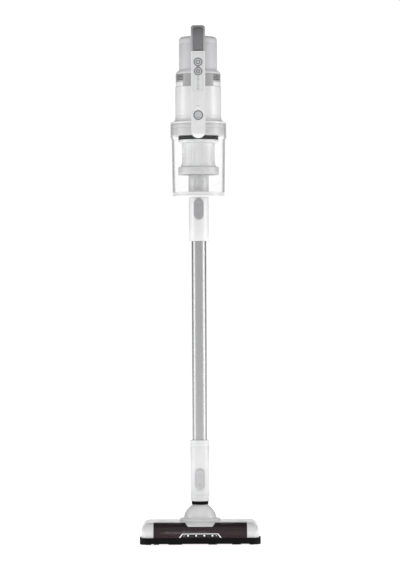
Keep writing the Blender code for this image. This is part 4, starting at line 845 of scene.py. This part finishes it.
# Cyclone: a grey skirt under a white screen drum with fine vertical slots, and the
# white plate that closes it.
skirt_low, skirt_high, skirt_radius = round_box("cyclone_skirt")
cyclone_grey = moulded("cyclone_grey_plastic", (0.60, 0.60, 0.605), 0.26, 1700, 0.00003)
CORE = 0.0300
SKIRT_WALL = 0.0018
skirt_under = skirt_high.z - SKIRT_WALL
skirt_line = [(skirt_radius - SKIRT_WALL, skirt_low.z), (skirt_radius, skirt_low.z)]
skirt_line += [(skirt_radius, skirt_high.z - 0.0016), (skirt_radius - 0.0016, skirt_high.z)]
skirt_line += [(0.0364, skirt_high.z), (CORE, skirt_high.z), (CORE, skirt_under)]
skirt_line += [(skirt_radius - SKIRT_WALL, skirt_under), (skirt_radius - SKIRT_WALL, skirt_low.z)]
skirt = turn_profile("cyclone_skirt_ring", skirt_line, 128)
soften(skirt, 0.0005, 2)
dress(skirt, cyclone_grey, "vent_grey", "motor_unit", "cyclone_skirt")

screen_low, screen_high, flare_radius = round_box("cyclone_screen")
screen_radius = 0.0358
screen_bore = screen_radius - 0.0016
screen_line = [(CORE, screen_low.z), (flare_radius, screen_low.z), (flare_radius, screen_low.z + 0.0020)]
screen_line += [(screen_radius, screen_low.z + 0.0078), (screen_radius, screen_high.z),
                (screen_bore, screen_high.z)]
screen_line += [(screen_bore, screen_low.z + 0.0080), (CORE, screen_low.z)]
drum = turn_profile("cyclone_drum", screen_line, 144)
drum_plastic = moulded("screen_white_plastic", (0.74, 0.74, 0.745), 0.28, 1500, 0.00002)
smooth(drum)
for index in range(36):
    turn = 2 * math.pi * (index + 0.5) / 36
    if abs(math.sin(turn * 2)) < 0.2:
        continue
    slot = cube_between("slot", (-0.0004, -screen_radius - 0.01, screen_low.z + 0.0140),
                        (0.0004, -screen_radius + 0.0009, screen_high.z - 0.0060))
    slot.rotation_euler = (0, 0, turn)
    slot.location = (0, AXIS_Y, 0)
    carve(drum, slot)
soften(drum, 0.00025, 1)
dress(drum, drum_plastic, "white_shell", "motor_unit", "cyclone_screen")

plate_low, plate_high, plate_radius = round_box("cyclone_plate")
plate_line = [(CORE, plate_low.z), (plate_radius - 0.0010, plate_low.z), (plate_radius, plate_low.z + 0.0014)]
plate_line += [(plate_radius, plate_high.z), (CORE, plate_high.z), (CORE, plate_low.z)]
plate = turn_profile("cyclone_top_plate", plate_line, 128)
soften(plate, 0.0005, 2)
dress(plate, drum_plastic, "white_shell", "motor_unit", "cyclone_plate")

# Filter: a black rubber lip seal with a groove round it, and the grey moulded housing
# that it is pushed onto.
lip_low, lip_high, lip_radius = round_box("filter_seal")
lip_line = [(CORE, lip_low.z)]
lip_line += steps_from(lip_radius, lip_low.z, (-0.0008, 0), (0, 0.0010), (0, 0.0030), (-0.0009, 0.0036),
                       (-0.0009, 0.0044))
lip_line += [(lip_radius, lip_low.z + 0.0050), (lip_radius, lip_high.z), (CORE, lip_high.z),
             (CORE, lip_low.z)]
lip_seal = turn_profile("filter_lip_seal", lip_line, 128)
soften(lip_seal, 0.0003, 2)
dress(lip_seal, black_rubber, "black_rubber", "motor_unit", "filter_seal")

house_low, house_high, house_radius = round_box("filter_housing")
HOUSE_WALL = 0.0018
house_bore = house_radius - HOUSE_WALL
house_line = [(CORE, house_low.z)]
house_line += steps_from(house_radius, house_low.z, (-0.0014, 0), (0, 0.0014), (0, 0.0165), (-0.0006, 0.0170))
house_line += steps_from(house_radius, house_low.z, (-0.0006, 0.0178), (0, 0.0183))
house_line += [(house_radius, house_high.z), (house_bore, house_high.z),
               (house_bore, house_low.z + HOUSE_WALL)]
house_line += [(CORE, house_low.z + HOUSE_WALL), (CORE, house_low.z)]
house = turn_profile("filter_holder", house_line, 128)
soften(house, 0.0006, 2)
dress(house, cyclone_grey, "vent_grey", "motor_unit", "filter_housing")

# Motor housing: one white gloss shell that swells out in a shoulder over the cup's band,
# with a fine parting line above the shoulder.
motor_low, motor_high, rim_radius = round_box("motor_housing")
BODY_RADIUS = 0.0503
BODY_BORE = BODY_RADIUS - 0.0022
RIM = 0.0037
SHOULDER = 0.0104
shell_line = [(rim_radius - 0.0060, motor_low.z), (rim_radius, motor_low.z), (rim_radius, motor_low.z + RIM)]
for step in range(1, 15):
    turn = math.radians(90 * step / 14)
    out_to = rim_radius - (rim_radius - BODY_RADIUS) * math.sin(turn)
    shell_line.append((out_to, motor_low.z + RIM + SHOULDER * (1 - math.cos(turn))))
part_z = motor_low.z + RIM + SHOULDER + 0.0030
shell_line += steps_from(BODY_RADIUS, part_z, (0, 0), (-0.0004, 0.0003), (-0.0004, 0.0006), (0, 0.0009))
shell_line += [(BODY_RADIUS, motor_high.z), (BODY_BORE, motor_high.z),
               (BODY_BORE, motor_low.z + RIM + SHOULDER)]
shell_line += [(rim_radius - 0.0060, motor_low.z)]
housing = turn_profile("motor_shell", shell_line, 160)
soften(housing, 0.0006, 3)
dress(housing, white_gloss, "white_shell", "motor_unit", "motor_housing")

# Vent ring: a grey band clipped round the motor unit, with four rows of slots on each
# side, a white skirt under them, and the dark filter drum that shows through them.
vent_low, vent_high, vent_radius = round_box("vent_ring")
vent_grey = moulded("vent_grey_plastic", (0.36, 0.36, 0.365), 0.34, 1900, 0.00004)
vent = plain_ring("vent_band", vent_radius - 0.0022, vent_radius, vent_low.z, vent_high.z, 160)
HALF_SLOT = 0.0014 / 2
for row in range(4):
    slot_z = vent_high.z - 0.0030 - row * 0.0032
    for side in (-1, 1):
        for low_turn in (-50, -16, 18):
            slot = cube_between("slot", (0.030, -0.0125, slot_z - HALF_SLOT),
                                (0.060, 0.0125, slot_z + HALF_SLOT))
            slot.rotation_euler = (0, 0, math.radians((90 - side * 90) + low_turn * side + 16 * side))
            slot.location = (0, AXIS_Y, 0)
            carve(vent, slot)
skirt_foot = vent_low.z + 0.0002
skirt_top = vent_low.z + 0.38 * (vent_high.z - vent_low.z)
side_line = [(vent_radius - 0.0016, skirt_foot), (vent_radius + 0.0003, skirt_foot)]
side_line += steps_from(vent_radius, skirt_top, (0.0003, -0.0006), (-0.0004, 0), (-0.0016, 0))
side_line += [(vent_radius - 0.0016, skirt_foot)]
vent_skirt = turn_profile("vent_side_skirt", side_line, 160)
FRONT_GAP = 0.0330
carve(vent_skirt, cube_between("front_gap", (-FRONT_GAP, -0.4, 0), (FRONT_GAP, AXIS_Y, 2)))
for low_x, high_x in ((-0.2, -FRONT_GAP), (FRONT_GAP, 0.2)):
    carve(vent, cube_between("skirt_room", (low_x, -0.4, vent_low.z - 0.01), (high_x, 0.4, skirt_top)))
soften(vent, 0.0003, 1)
dress(vent, vent_grey, "vent_grey", "motor_unit", "vent_ring")
soften(vent_skirt, 0.0003, 2)
dress(vent_skirt, white_gloss, "white_shell", "motor_unit")
filter_drum = plain_ring("exhaust_filter_drum", vent_radius - 0.0052, vent_radius - 0.0040,
                         vent_low.z + 0.001, vent_high.z - 0.001, 96)
smooth(filter_drum)
dress(filter_drum, black_moulding, "dark_inner", "motor_unit")

# Top collar: a white ring moulded to step in from the vents to the battery, and clipped
# over the vent ring.
shoulder_low, shoulder_high, collar_out = round_box("top_collar")
case_low, case_high, case_radius = round_box("battery_case")
step_line = [(case_radius - 0.0026, shoulder_low.z)]
step_line += steps_from(collar_out, shoulder_low.z, (0, 0), (0, 0.0012), (-0.0012, 0.0034))
step_line += steps_from(case_radius, shoulder_high.z, (0.0010, -0.0006), (0.0003, 0), (-0.0026, 0))
step_line += [(case_radius - 0.0026, shoulder_low.z)]
step_ring = turn_profile("top_step_ring", step_line, 144)
soften(step_ring, 0.0006, 3)
dress(step_ring, white_gloss, "white_shell", "motor_unit", "top_collar")

# Battery: a pale grey cap with a fine spark texture, a seam round its side and a rounded
# top, which drops into the collar on a plain neck.
battery_skin = moulded("spark_textured_shell", (0.55, 0.55, 0.56), 0.46, 2600, 0.00007)
case_foot = shoulder_high.z + 0.0003
EDGE = 0.0080
case_line = steps_from(case_radius, case_low.z, (-0.0052, 0), (-0.0030, 0))
case_line += [(case_radius - 0.0030, case_foot), (case_radius, case_foot)]
seam_z = case_high.z - 0.0145
case_line += steps_from(case_radius, seam_z, (0, -0.0004), (-0.0003, -0.0002), (-0.0003, 0.0002), (0, 0.0004))
for step in range(13):
    turn = math.radians(90 * step / 12)
    case_line.append((case_radius - EDGE + EDGE * math.cos(turn), case_high.z - EDGE + EDGE * math.sin(turn)))
case_line += [(0.0200, case_high.z), (0.0194, case_high.z - 0.0003), (0.0188, case_high.z), (0, case_high.z)]
case_line += [(0, case_high.z - 0.0030)]
case_line += steps_from(case_radius, case_high.z, (-0.0110, -0.0030), (-0.0052, -0.0090))
case_line += [(case_radius - 0.0052, case_low.z)]
battery = turn_profile("battery_cap", case_line, 144)
latch_low, latch_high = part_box("battery_latch")
latch_room = cube_between("latch_room",
                          (latch_low.x - CLEARANCE, latch_low.y - CLEARANCE, latch_low.z - 0.02),
                          (latch_high.x + CLEARANCE, latch_high.y + CLEARANCE, 1.3))
carve(battery, latch_room)
soften(battery, 0.0005, 2)
dress(battery, battery_skin, "battery_shell", "battery", "battery_case")

latch_key = cube_between("battery_latch_key", latch_low, latch_high)
for rib in range(2):
    rib_y = latch_low.y + 0.0018 + rib * 0.0020
    carve(latch_key, cube_between("groove", (latch_low.x - 0.01, rib_y, latch_high.z - 0.0005),
                                  (latch_high.x + 0.01, rib_y + 0.0005, latch_high.z + 0.01)))
soften(latch_key, 0.0004, 2)
dress(latch_key, black_moulding, "dark_inner", "latch", "battery_latch")

# Handle: one white gloss moulding, a flat bar with rounded edges that stands off the
# motor unit; the fingers go through the long gap behind it.
handle_low, handle_high, HALF_WIDTH = round_box("handle_frame")
grip_low, grip_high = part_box("grip_cover")
HANDLE_FRONT = handle_low.y
BAR_BACK = HANDLE_FRONT + 0.0225
TOP_Z = grip_high.z


def handle_solid(name, low_z, high_z):
    """The handle's whole form between two heights: side outline, round tip and corners."""
    outline = [(HANDLE_FRONT + 0.0090, handle_low.z), (HANDLE_FRONT, handle_low.z + 0.0090)]
    outline += [(HANDLE_FRONT, TOP_Z - 0.0300)]
    for start, bend in ((180, 0.0300), (90, 0.0360)):
        for step in range(1, 15):
            turn = math.radians(start - 90 * step / 14)
            outline.append((HANDLE_FRONT + 0.0300 + bend * math.cos(turn),
                            TOP_Z - bend + bend * math.sin(turn)))
    saddle = motor_low.z + 0.0163
    outline += [(AXIS_Y - case_radius - 0.0045, shoulder_high.z + 0.0015),
                (AXIS_Y - 0.0440, shoulder_high.z - 0.0005)]
    outline += [(AXIS_Y - 0.0440, saddle), (AXIS_Y - rim_radius - 0.0006, saddle)]
    outline += [(AXIS_Y - rim_radius - 0.0060, motor_low.z + 0.0143),
                (BAR_BACK - 0.0005, motor_low.z - 0.0016)]
    outline += steps_from(BAR_BACK, handle_low.z, (-0.0010, 0.0160), (-0.0060, 0.0030))
    mesh = bpy.data.meshes.new(name)
    mesh.from_pydata([(-HALF_WIDTH, y, z) for y, z in outline], [], [tuple(range(len(outline)))])
    piece = bpy.data.objects.new(name, mesh)
    scene.collection.objects.link(piece)
    select_only(piece)
    bpy.ops.object.mode_set(mode="EDIT")
    bpy.ops.mesh.select_all(action="SELECT")
    bpy.ops.mesh.extrude_region_move(TRANSFORM_OT_translate={"value": (2 * HALF_WIDTH, 0, 0)})
    bpy.ops.mesh.select_all(action="SELECT")
    bpy.ops.mesh.normals_make_consistent(inside=False)
    bpy.ops.object.mode_set(mode="OBJECT")
    form = cube_between("tip_and_corners", (-HALF_WIDTH, -0.3, handle_low.z), (HALF_WIDTH, 0.3, TOP_Z))
    round_edges(form, along(1, [(2, 1.0, -1)]), HALF_WIDTH - 0.0001, 20)
    round_edges(form, along(1, [(2, TOP_Z - 0.01, 1)]), 0.0080, 10)
    carve(piece, form, "INTERSECT")
    finish_modifier(piece, "BEVEL", width=0.0046, segments=6, limit_method="ANGLE",
                    angle_limit=math.radians(50), use_clamp_overlap=True)
    carve(piece, cube_between("keep", (-0.2, -0.3, low_z), (0.2, 0.3, high_z)), "INTERSECT")
    return piece


finger_low_z, finger_high_z = motor_low.z + 0.0464, TOP_Z - 0.0215
FINGER_BACK = AXIS_Y - 0.0585


def finger_hole():
    """The rounded slot that the fingers go through, right across the handle."""
    hole = cube_between("finger_hole", (-0.1, BAR_BACK, finger_low_z), (0.1, FINGER_BACK, finger_high_z))
    round_edges(hole, along(0), (FINGER_BACK - BAR_BACK) / 2 - 0.0001, 14)
    return hole


def opening(name, low, high, back=0.4):
    """A cutter for a fitted piece, as wide and tall as its box plus the clearance."""
    return cube_between(name, (low.x - CLEARANCE, -0.4, low.z - CLEARANCE),
                        (high.x + CLEARANCE, back, high.z + CLEARANCE))


handle = handle_solid("handle_moulding", handle_low.z - 0.01, handle_high.z)
carve(handle, finger_hole())
SEAT_CORE = 0.0002
seat_line = [(SEAT_CORE, motor_low.z), (rim_radius + CLEARANCE, motor_low.z)]
seat_line += [(rim_radius + CLEARANCE, motor_low.z + RIM + 0.0020)]
seat_line += [(BODY_RADIUS + CLEARANCE, motor_low.z + RIM + SHOULDER + 0.0010)]
seat_line += [(BODY_RADIUS + CLEARANCE, motor_high.z + 0.0003),
              (vent_radius + CLEARANCE, motor_high.z + 0.0003)]
seat_line += [(vent_radius + CLEARANCE, shoulder_low.z + 0.0030),
              (case_radius + 0.0010, shoulder_high.z + 0.0010)]
seat_line += [(SEAT_CORE, shoulder_high.z + 0.0010), (SEAT_CORE, motor_low.z)]
carve(handle, turn_profile("body_seat", seat_line, 160))
panel_cad_low, panel_cad_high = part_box("control_panel")
pocket = opening("pocket", panel_cad_low, panel_cad_high, HANDLE_FRONT + 0.0080)
round_edges(pocket, along(1, [(2, 1.0, -1)]), 0.0016, 4)
carve(handle, pocket)
cup_key_low, cup_key_high, KEY_RADIUS = round_box("cup_release_button")
cup_key_z = (cup_key_low.z + cup_key_high.z) / 2
bpy.ops.mesh.primitive_cylinder_add(vertices=72, radius=KEY_RADIUS + CLEARANCE, depth=0.0200,
                                    location=(0, HANDLE_FRONT - 0.0015, cup_key_z),
                                    rotation=(math.pi / 2, 0, 0))
carve(handle, bpy.context.object)
bpy.ops.mesh.primitive_torus_add(major_segments=72, minor_segments=12, major_radius=KEY_RADIUS + 0.0014,
                                 minor_radius=0.0004, location=(0, HANDLE_FRONT, cup_key_z),
                                 rotation=(math.pi / 2, 0, 0))
carve(handle, bpy.context.object)
soften(handle, 0.0004, 2, 40)
dress(handle, white_gloss, "white_shell", "motor_unit", "handle_frame")

# Grip: a soft-touch grey cap moulded over the top of the handle and cut away down its face for a darker patch
# of painted shade.
soft_grip = moulded("soft_touch_grip", (0.40, 0.40, 0.405), 0.50, 2400, 0.00006)
grip = handle_solid("grip_cap", grip_low.z, TOP_Z + 0.01)
carve(grip, finger_hole())


def face_region(grow):
    """The rounded patch of the grip's face that the painted shade fills."""
    region = cube_between("region", (-0.0112 - grow, -0.4, grip_low.z - 0.01),
                          (0.0112 + grow, HANDLE_FRONT + 0.0160 + grow, TOP_Z - 0.0055 + grow))
    round_edges(region, along(1, [(2, 1.085, 1)]), 0.0080, 8)
    return region


carve(grip, face_region(CLEARANCE))
soften(grip, 0.0005, 2, 40)
dress(grip, soft_grip, "grip_grey", "motor_unit", "grip_cover")

# Grip face: a darker grey patch of painted shade on the grip's front face, where the grip turns away from the
# light, with a slot cut near its foot.
grip_face_painted_shade_patch = handle_solid("grip_face_painted_shade_piece", grip_low.z + 0.0002, TOP_Z + 0.01)
carve(grip_face_painted_shade_patch, face_region(0.0), "INTERSECT")
slit_low, slit_high = grip_low.z + 0.0010, grip_low.z + 0.0026
carve(grip_face_painted_shade_patch, cube_between("slit", (-0.0068, -0.4, slit_low), (0.0068, HANDLE_FRONT + 0.0030, slit_high)))
# Painted shade: the darker grey of the grip's front face.
grip_face_painted_shade_grey = moulded("grip_face_painted_shade_material", (0.17, 0.17, 0.175), 0.62, 2600, 0.00008)
soften(grip_face_painted_shade_patch, 0.0005, 2, 40)
dress(grip_face_painted_shade_patch, grip_face_painted_shade_grey, "grip_grey", "motor_unit")

# Control panel: a satin grey plate glued in the front of the handle, with holes for its two keys and the
# indicator strip. The marks on it are raised print, but the dark rings round its keys are painted shade.
panel_grey = moulded("satin_panel_grey", (0.69, 0.69, 0.70), 0.38, 2000, 0.00003)
print_white = moulded("white_print", (0.80, 0.80, 0.80), 0.5, 1500, 0.00001)
# Dark print; the same material also gives the painted shade in the gaps round the keys.
print_dark_and_painted_shade = moulded("dark_print_and_painted_shade", (0.10, 0.10, 0.105), 0.5, 1500, 0.00001)
PANEL_FACE = panel_cad_low.y
plate = cube_between("panel_plate", panel_cad_low, panel_cad_high)
round_edges(plate, along(1, [(2, 1.0, -1)]), 0.0013, 4)
key_grey = moulded("pale_key_grey", (0.52, 0.52, 0.53), 0.34, 1800, 0.00003)
keys = {}
for node in ("power_button", "mode_button"):
    key_low, key_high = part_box(node)
    keys[node] = ((key_low.z + key_high.z) / 2, (key_high.z - key_low.z) / 2, key_low.y, key_high.y)
    centre_z, radius = keys[node][:2]
    bpy.ops.mesh.primitive_cylinder_add(vertices=64, radius=radius + CLEARANCE, depth=0.02,
                                        location=(0, PANEL_FACE, centre_z), rotation=(math.pi / 2, 0, 0))
    carve(plate, bpy.context.object)
strip_low, strip_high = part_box("indicator_lens")
carve(plate, opening("strip_hole", strip_low, strip_high))
soften(plate, 0.0003, 2)
dress(plate, panel_grey, "button_grey", "motor_unit", "control_panel")


def printed(name, low, high, depth, body):
    """A thin raised mark on a face that looks forward, between two (x, z) corners."""
    mark = cube_between(name, (low[0], depth, low[1]), (high[0], depth + 0.0004, high[1]))
    soften(mark, 0.00008, 1)
    dress(mark, print_dark_and_painted_shade, "dark_inner", body)


def ring_mark(name, centre_z, radius, wire, depth, body, span=360, start=0):
    """A raised ring, or an arc of one, in dark print on a face that looks forward; the dark rings round the
    keys are painted shade.
    """
    bpy.ops.object.select_all(action="DESELECT")
    bpy.ops.mesh.primitive_circle_add(vertices=12, radius=wire, location=(radius, depth, centre_z),
                                      rotation=(0, 0, 0))
    mark = bpy.context.object
    mark.name = name
    bpy.ops.object.transform_apply(location=True, rotation=True, scale=True)
    bpy.ops.object.mode_set(mode="EDIT")
    bpy.ops.mesh.select_all(action="SELECT")
    bpy.ops.transform.rotate(value=math.radians(start), orient_axis="Y", center_override=(0, depth, centre_z))
    bpy.ops.mesh.spin(steps=48, angle=math.radians(span), center=(0, depth, centre_z), axis=(0, 1, 0))
    bpy.ops.mesh.select_all(action="SELECT")
    bpy.ops.mesh.remove_doubles(threshold=0.00001)
    bpy.ops.mesh.normals_make_consistent(inside=False)
    bpy.ops.object.mode_set(mode="OBJECT")
    mark.scale = (1, 0.5, 1)
    mark.location = (0, depth * 0.5, 0)
    bpy.ops.object.transform_apply(location=True, rotation=True, scale=True)
    smooth(mark)
    dress(mark, print_dark_and_painted_shade, "dark_inner", body)


def round_key(name, profile, front_y, centre_z):
    """A round key turned from a profile of (radius, depth behind its front)."""
    key = turn_profile(name, [(radius, -depth) for radius, depth in profile], 72, (0, 0))
    key.rotation_euler = (math.radians(90), 0, 0)
    key.location = (0, front_y, centre_z)
    bpy.ops.object.transform_apply(location=True, rotation=True, scale=True)
    smooth(key)
    return key


# Push keys on the panel: round caps with a dished face and a raised printed ring, the
# upper one with a power stroke and the lower one with a centre dot.
for node, body in (("power_button", "power"), ("mode_button", "mode")):
    centre_z, radius, face_y, back_y = keys[node]
    key_depth = back_y - face_y
    cap_line = [(0, key_depth), (radius, key_depth), (radius, 0.0008), (radius - 0.0003, 0.0003),
                (radius - 0.0010, 0)]
    cap_line += [(radius - 0.0020, 0), (radius - 0.0028, 0.0004), (0, 0.0005)]
    cap = round_key(node + "_cap", cap_line, face_y, centre_z)
    dress(cap, key_grey, "button_grey", body, node)
    span = 300 if body == "power" else 360
    ring_mark(node + "_ring", centre_z, radius - 0.0034, 0.00075, face_y + 0.0004, body, span, 120)
    print_y = face_y + 0.0002
    if body == "power":
        printed("power_stroke", (-0.0006, centre_z + 0.0008), (0.0006, centre_z + 0.0050), print_y, body)
    else:
        printed("mode_dot", (-0.0011, centre_z - 0.0011), (0.0011, centre_z + 0.0011), print_y, body)
    # Painted shade: a dark ring on the panel in the gap round the key.
    ring_mark(node + "_gap_painted_shade", centre_z, radius + 0.0008, 0.00095, PANEL_FACE, "motor_unit")

# Indicator strip: a pale grey strip let into the panel with four small lamps on it, and
# two label bars printed above and below.
strip = cube_between("indicator_strip", strip_low, strip_high)
round_edges(strip, along(1), 0.0016, 6)
soften(strip, 0.0002, 1)
strip_clear = moulded("indicator_clear_grey", (0.66, 0.66, 0.67), 0.16, 1200, 0.00001)
dress(strip, strip_clear, "light_lens", "motor_unit", "indicator_lens")
for index, lamp_height in enumerate((1.0035, 0.9995, 0.9935, 0.9862)):
    radius = 0.0009 if index == 1 else 0.0007
    dot = bead(f"indicator_dot_{index + 1}", radius, (0, strip_low.y, lamp_height), 0.4, 24)
    dress(dot, print_dark_and_painted_shade if index % 2 else print_white, "light_lens", "motor_unit")
printed("label_bar_upper", (-0.0042, 1.0262), (0.0042, 1.0270), PANEL_FACE - 0.0002, "motor_unit")
printed("label_bar_lower", (-0.0046, 0.9421), (0.0046, 0.9429), HANDLE_FRONT - 0.0001, "motor_unit")

# Cup release key: a round satin grey key in the handle below the panel, with a dished face, an arc rib and a
# dark ring of painted shade round it.
key_depth = cup_key_high.y - cup_key_low.y
key_line = [(0, key_depth), (KEY_RADIUS, key_depth)]
key_line += steps_from(KEY_RADIUS, 0, (0, 0.0012), (-0.0004, 0.0005), (-0.0014, 0), (-0.0026, 0.0003))
key_line += [(0, 0.0008)]
cup_key = round_key("cup_release_key", key_line, cup_key_low.y, cup_key_z)
dress(cup_key, button_grey, "button_grey", "cup_button", "cup_release_button")
ring_mark("cup_key_arc", cup_key_z, KEY_RADIUS - 0.0034, 0.00045, cup_key_low.y + 0.0005, "cup_button", 110,
          215)
# Painted shade: a dark ring on the handle in the gap round the key.
ring_mark("cup_key_gap_painted_shade", cup_key_z, KEY_RADIUS + 0.0006, 0.00080, HANDLE_FRONT, "motor_unit")

# Inner parts: the suction motor with its finned can, the fan, the rubber mount, the
# brush drive, the cells and the board, each with its own finish on the drawn shape.
steel = moulded("machined_steel", (0.52, 0.52, 0.53), 0.30, 900, 0.00003, metallic=1.0)
can_grey = moulded("motor_can_zinc", (0.46, 0.46, 0.47), 0.38, 1300, 0.00003, metallic=0.9)
board_green = moulded("solder_mask_green", (0.02, 0.14, 0.06), 0.35, 1600, 0.00003)
cell_wrap = moulded("cell_wrap_teal", (0.05, 0.16, 0.18), 0.45, 1500, 0.00002)
paper = moulded("pleated_paper", (0.76, 0.75, 0.70), 0.85, 700, 0.00030)
belt_rubber = moulded("toothed_belt_rubber", (0.03, 0.03, 0.032), 0.80, 1500, 0.00020)
finishes = {
    black_moulding: ("head_base", "brush_chamber", "brush_core", "battery_floor", "wand_wire_duct"),
    black_rubber: ("motor_mount",), belt_rubber: ("drive_belt",), can_grey: ("brush_motor", "suction_motor"),
    steel: ("motor_pulley", "impeller", "brush_bearing_left", "brush_bearing_right", "pitch_pin_left",
            "pitch_pin_right"),
    cell_wrap: ("cell_pack",), board_green: ("control_board",), paper: ("pleated_filter",),
}
for surface, nodes in finishes.items():
    for node in nodes:
        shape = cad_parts[node]
        shape.data.materials.clear()
        shape.data.materials.append(surface)
        smooth(shape)
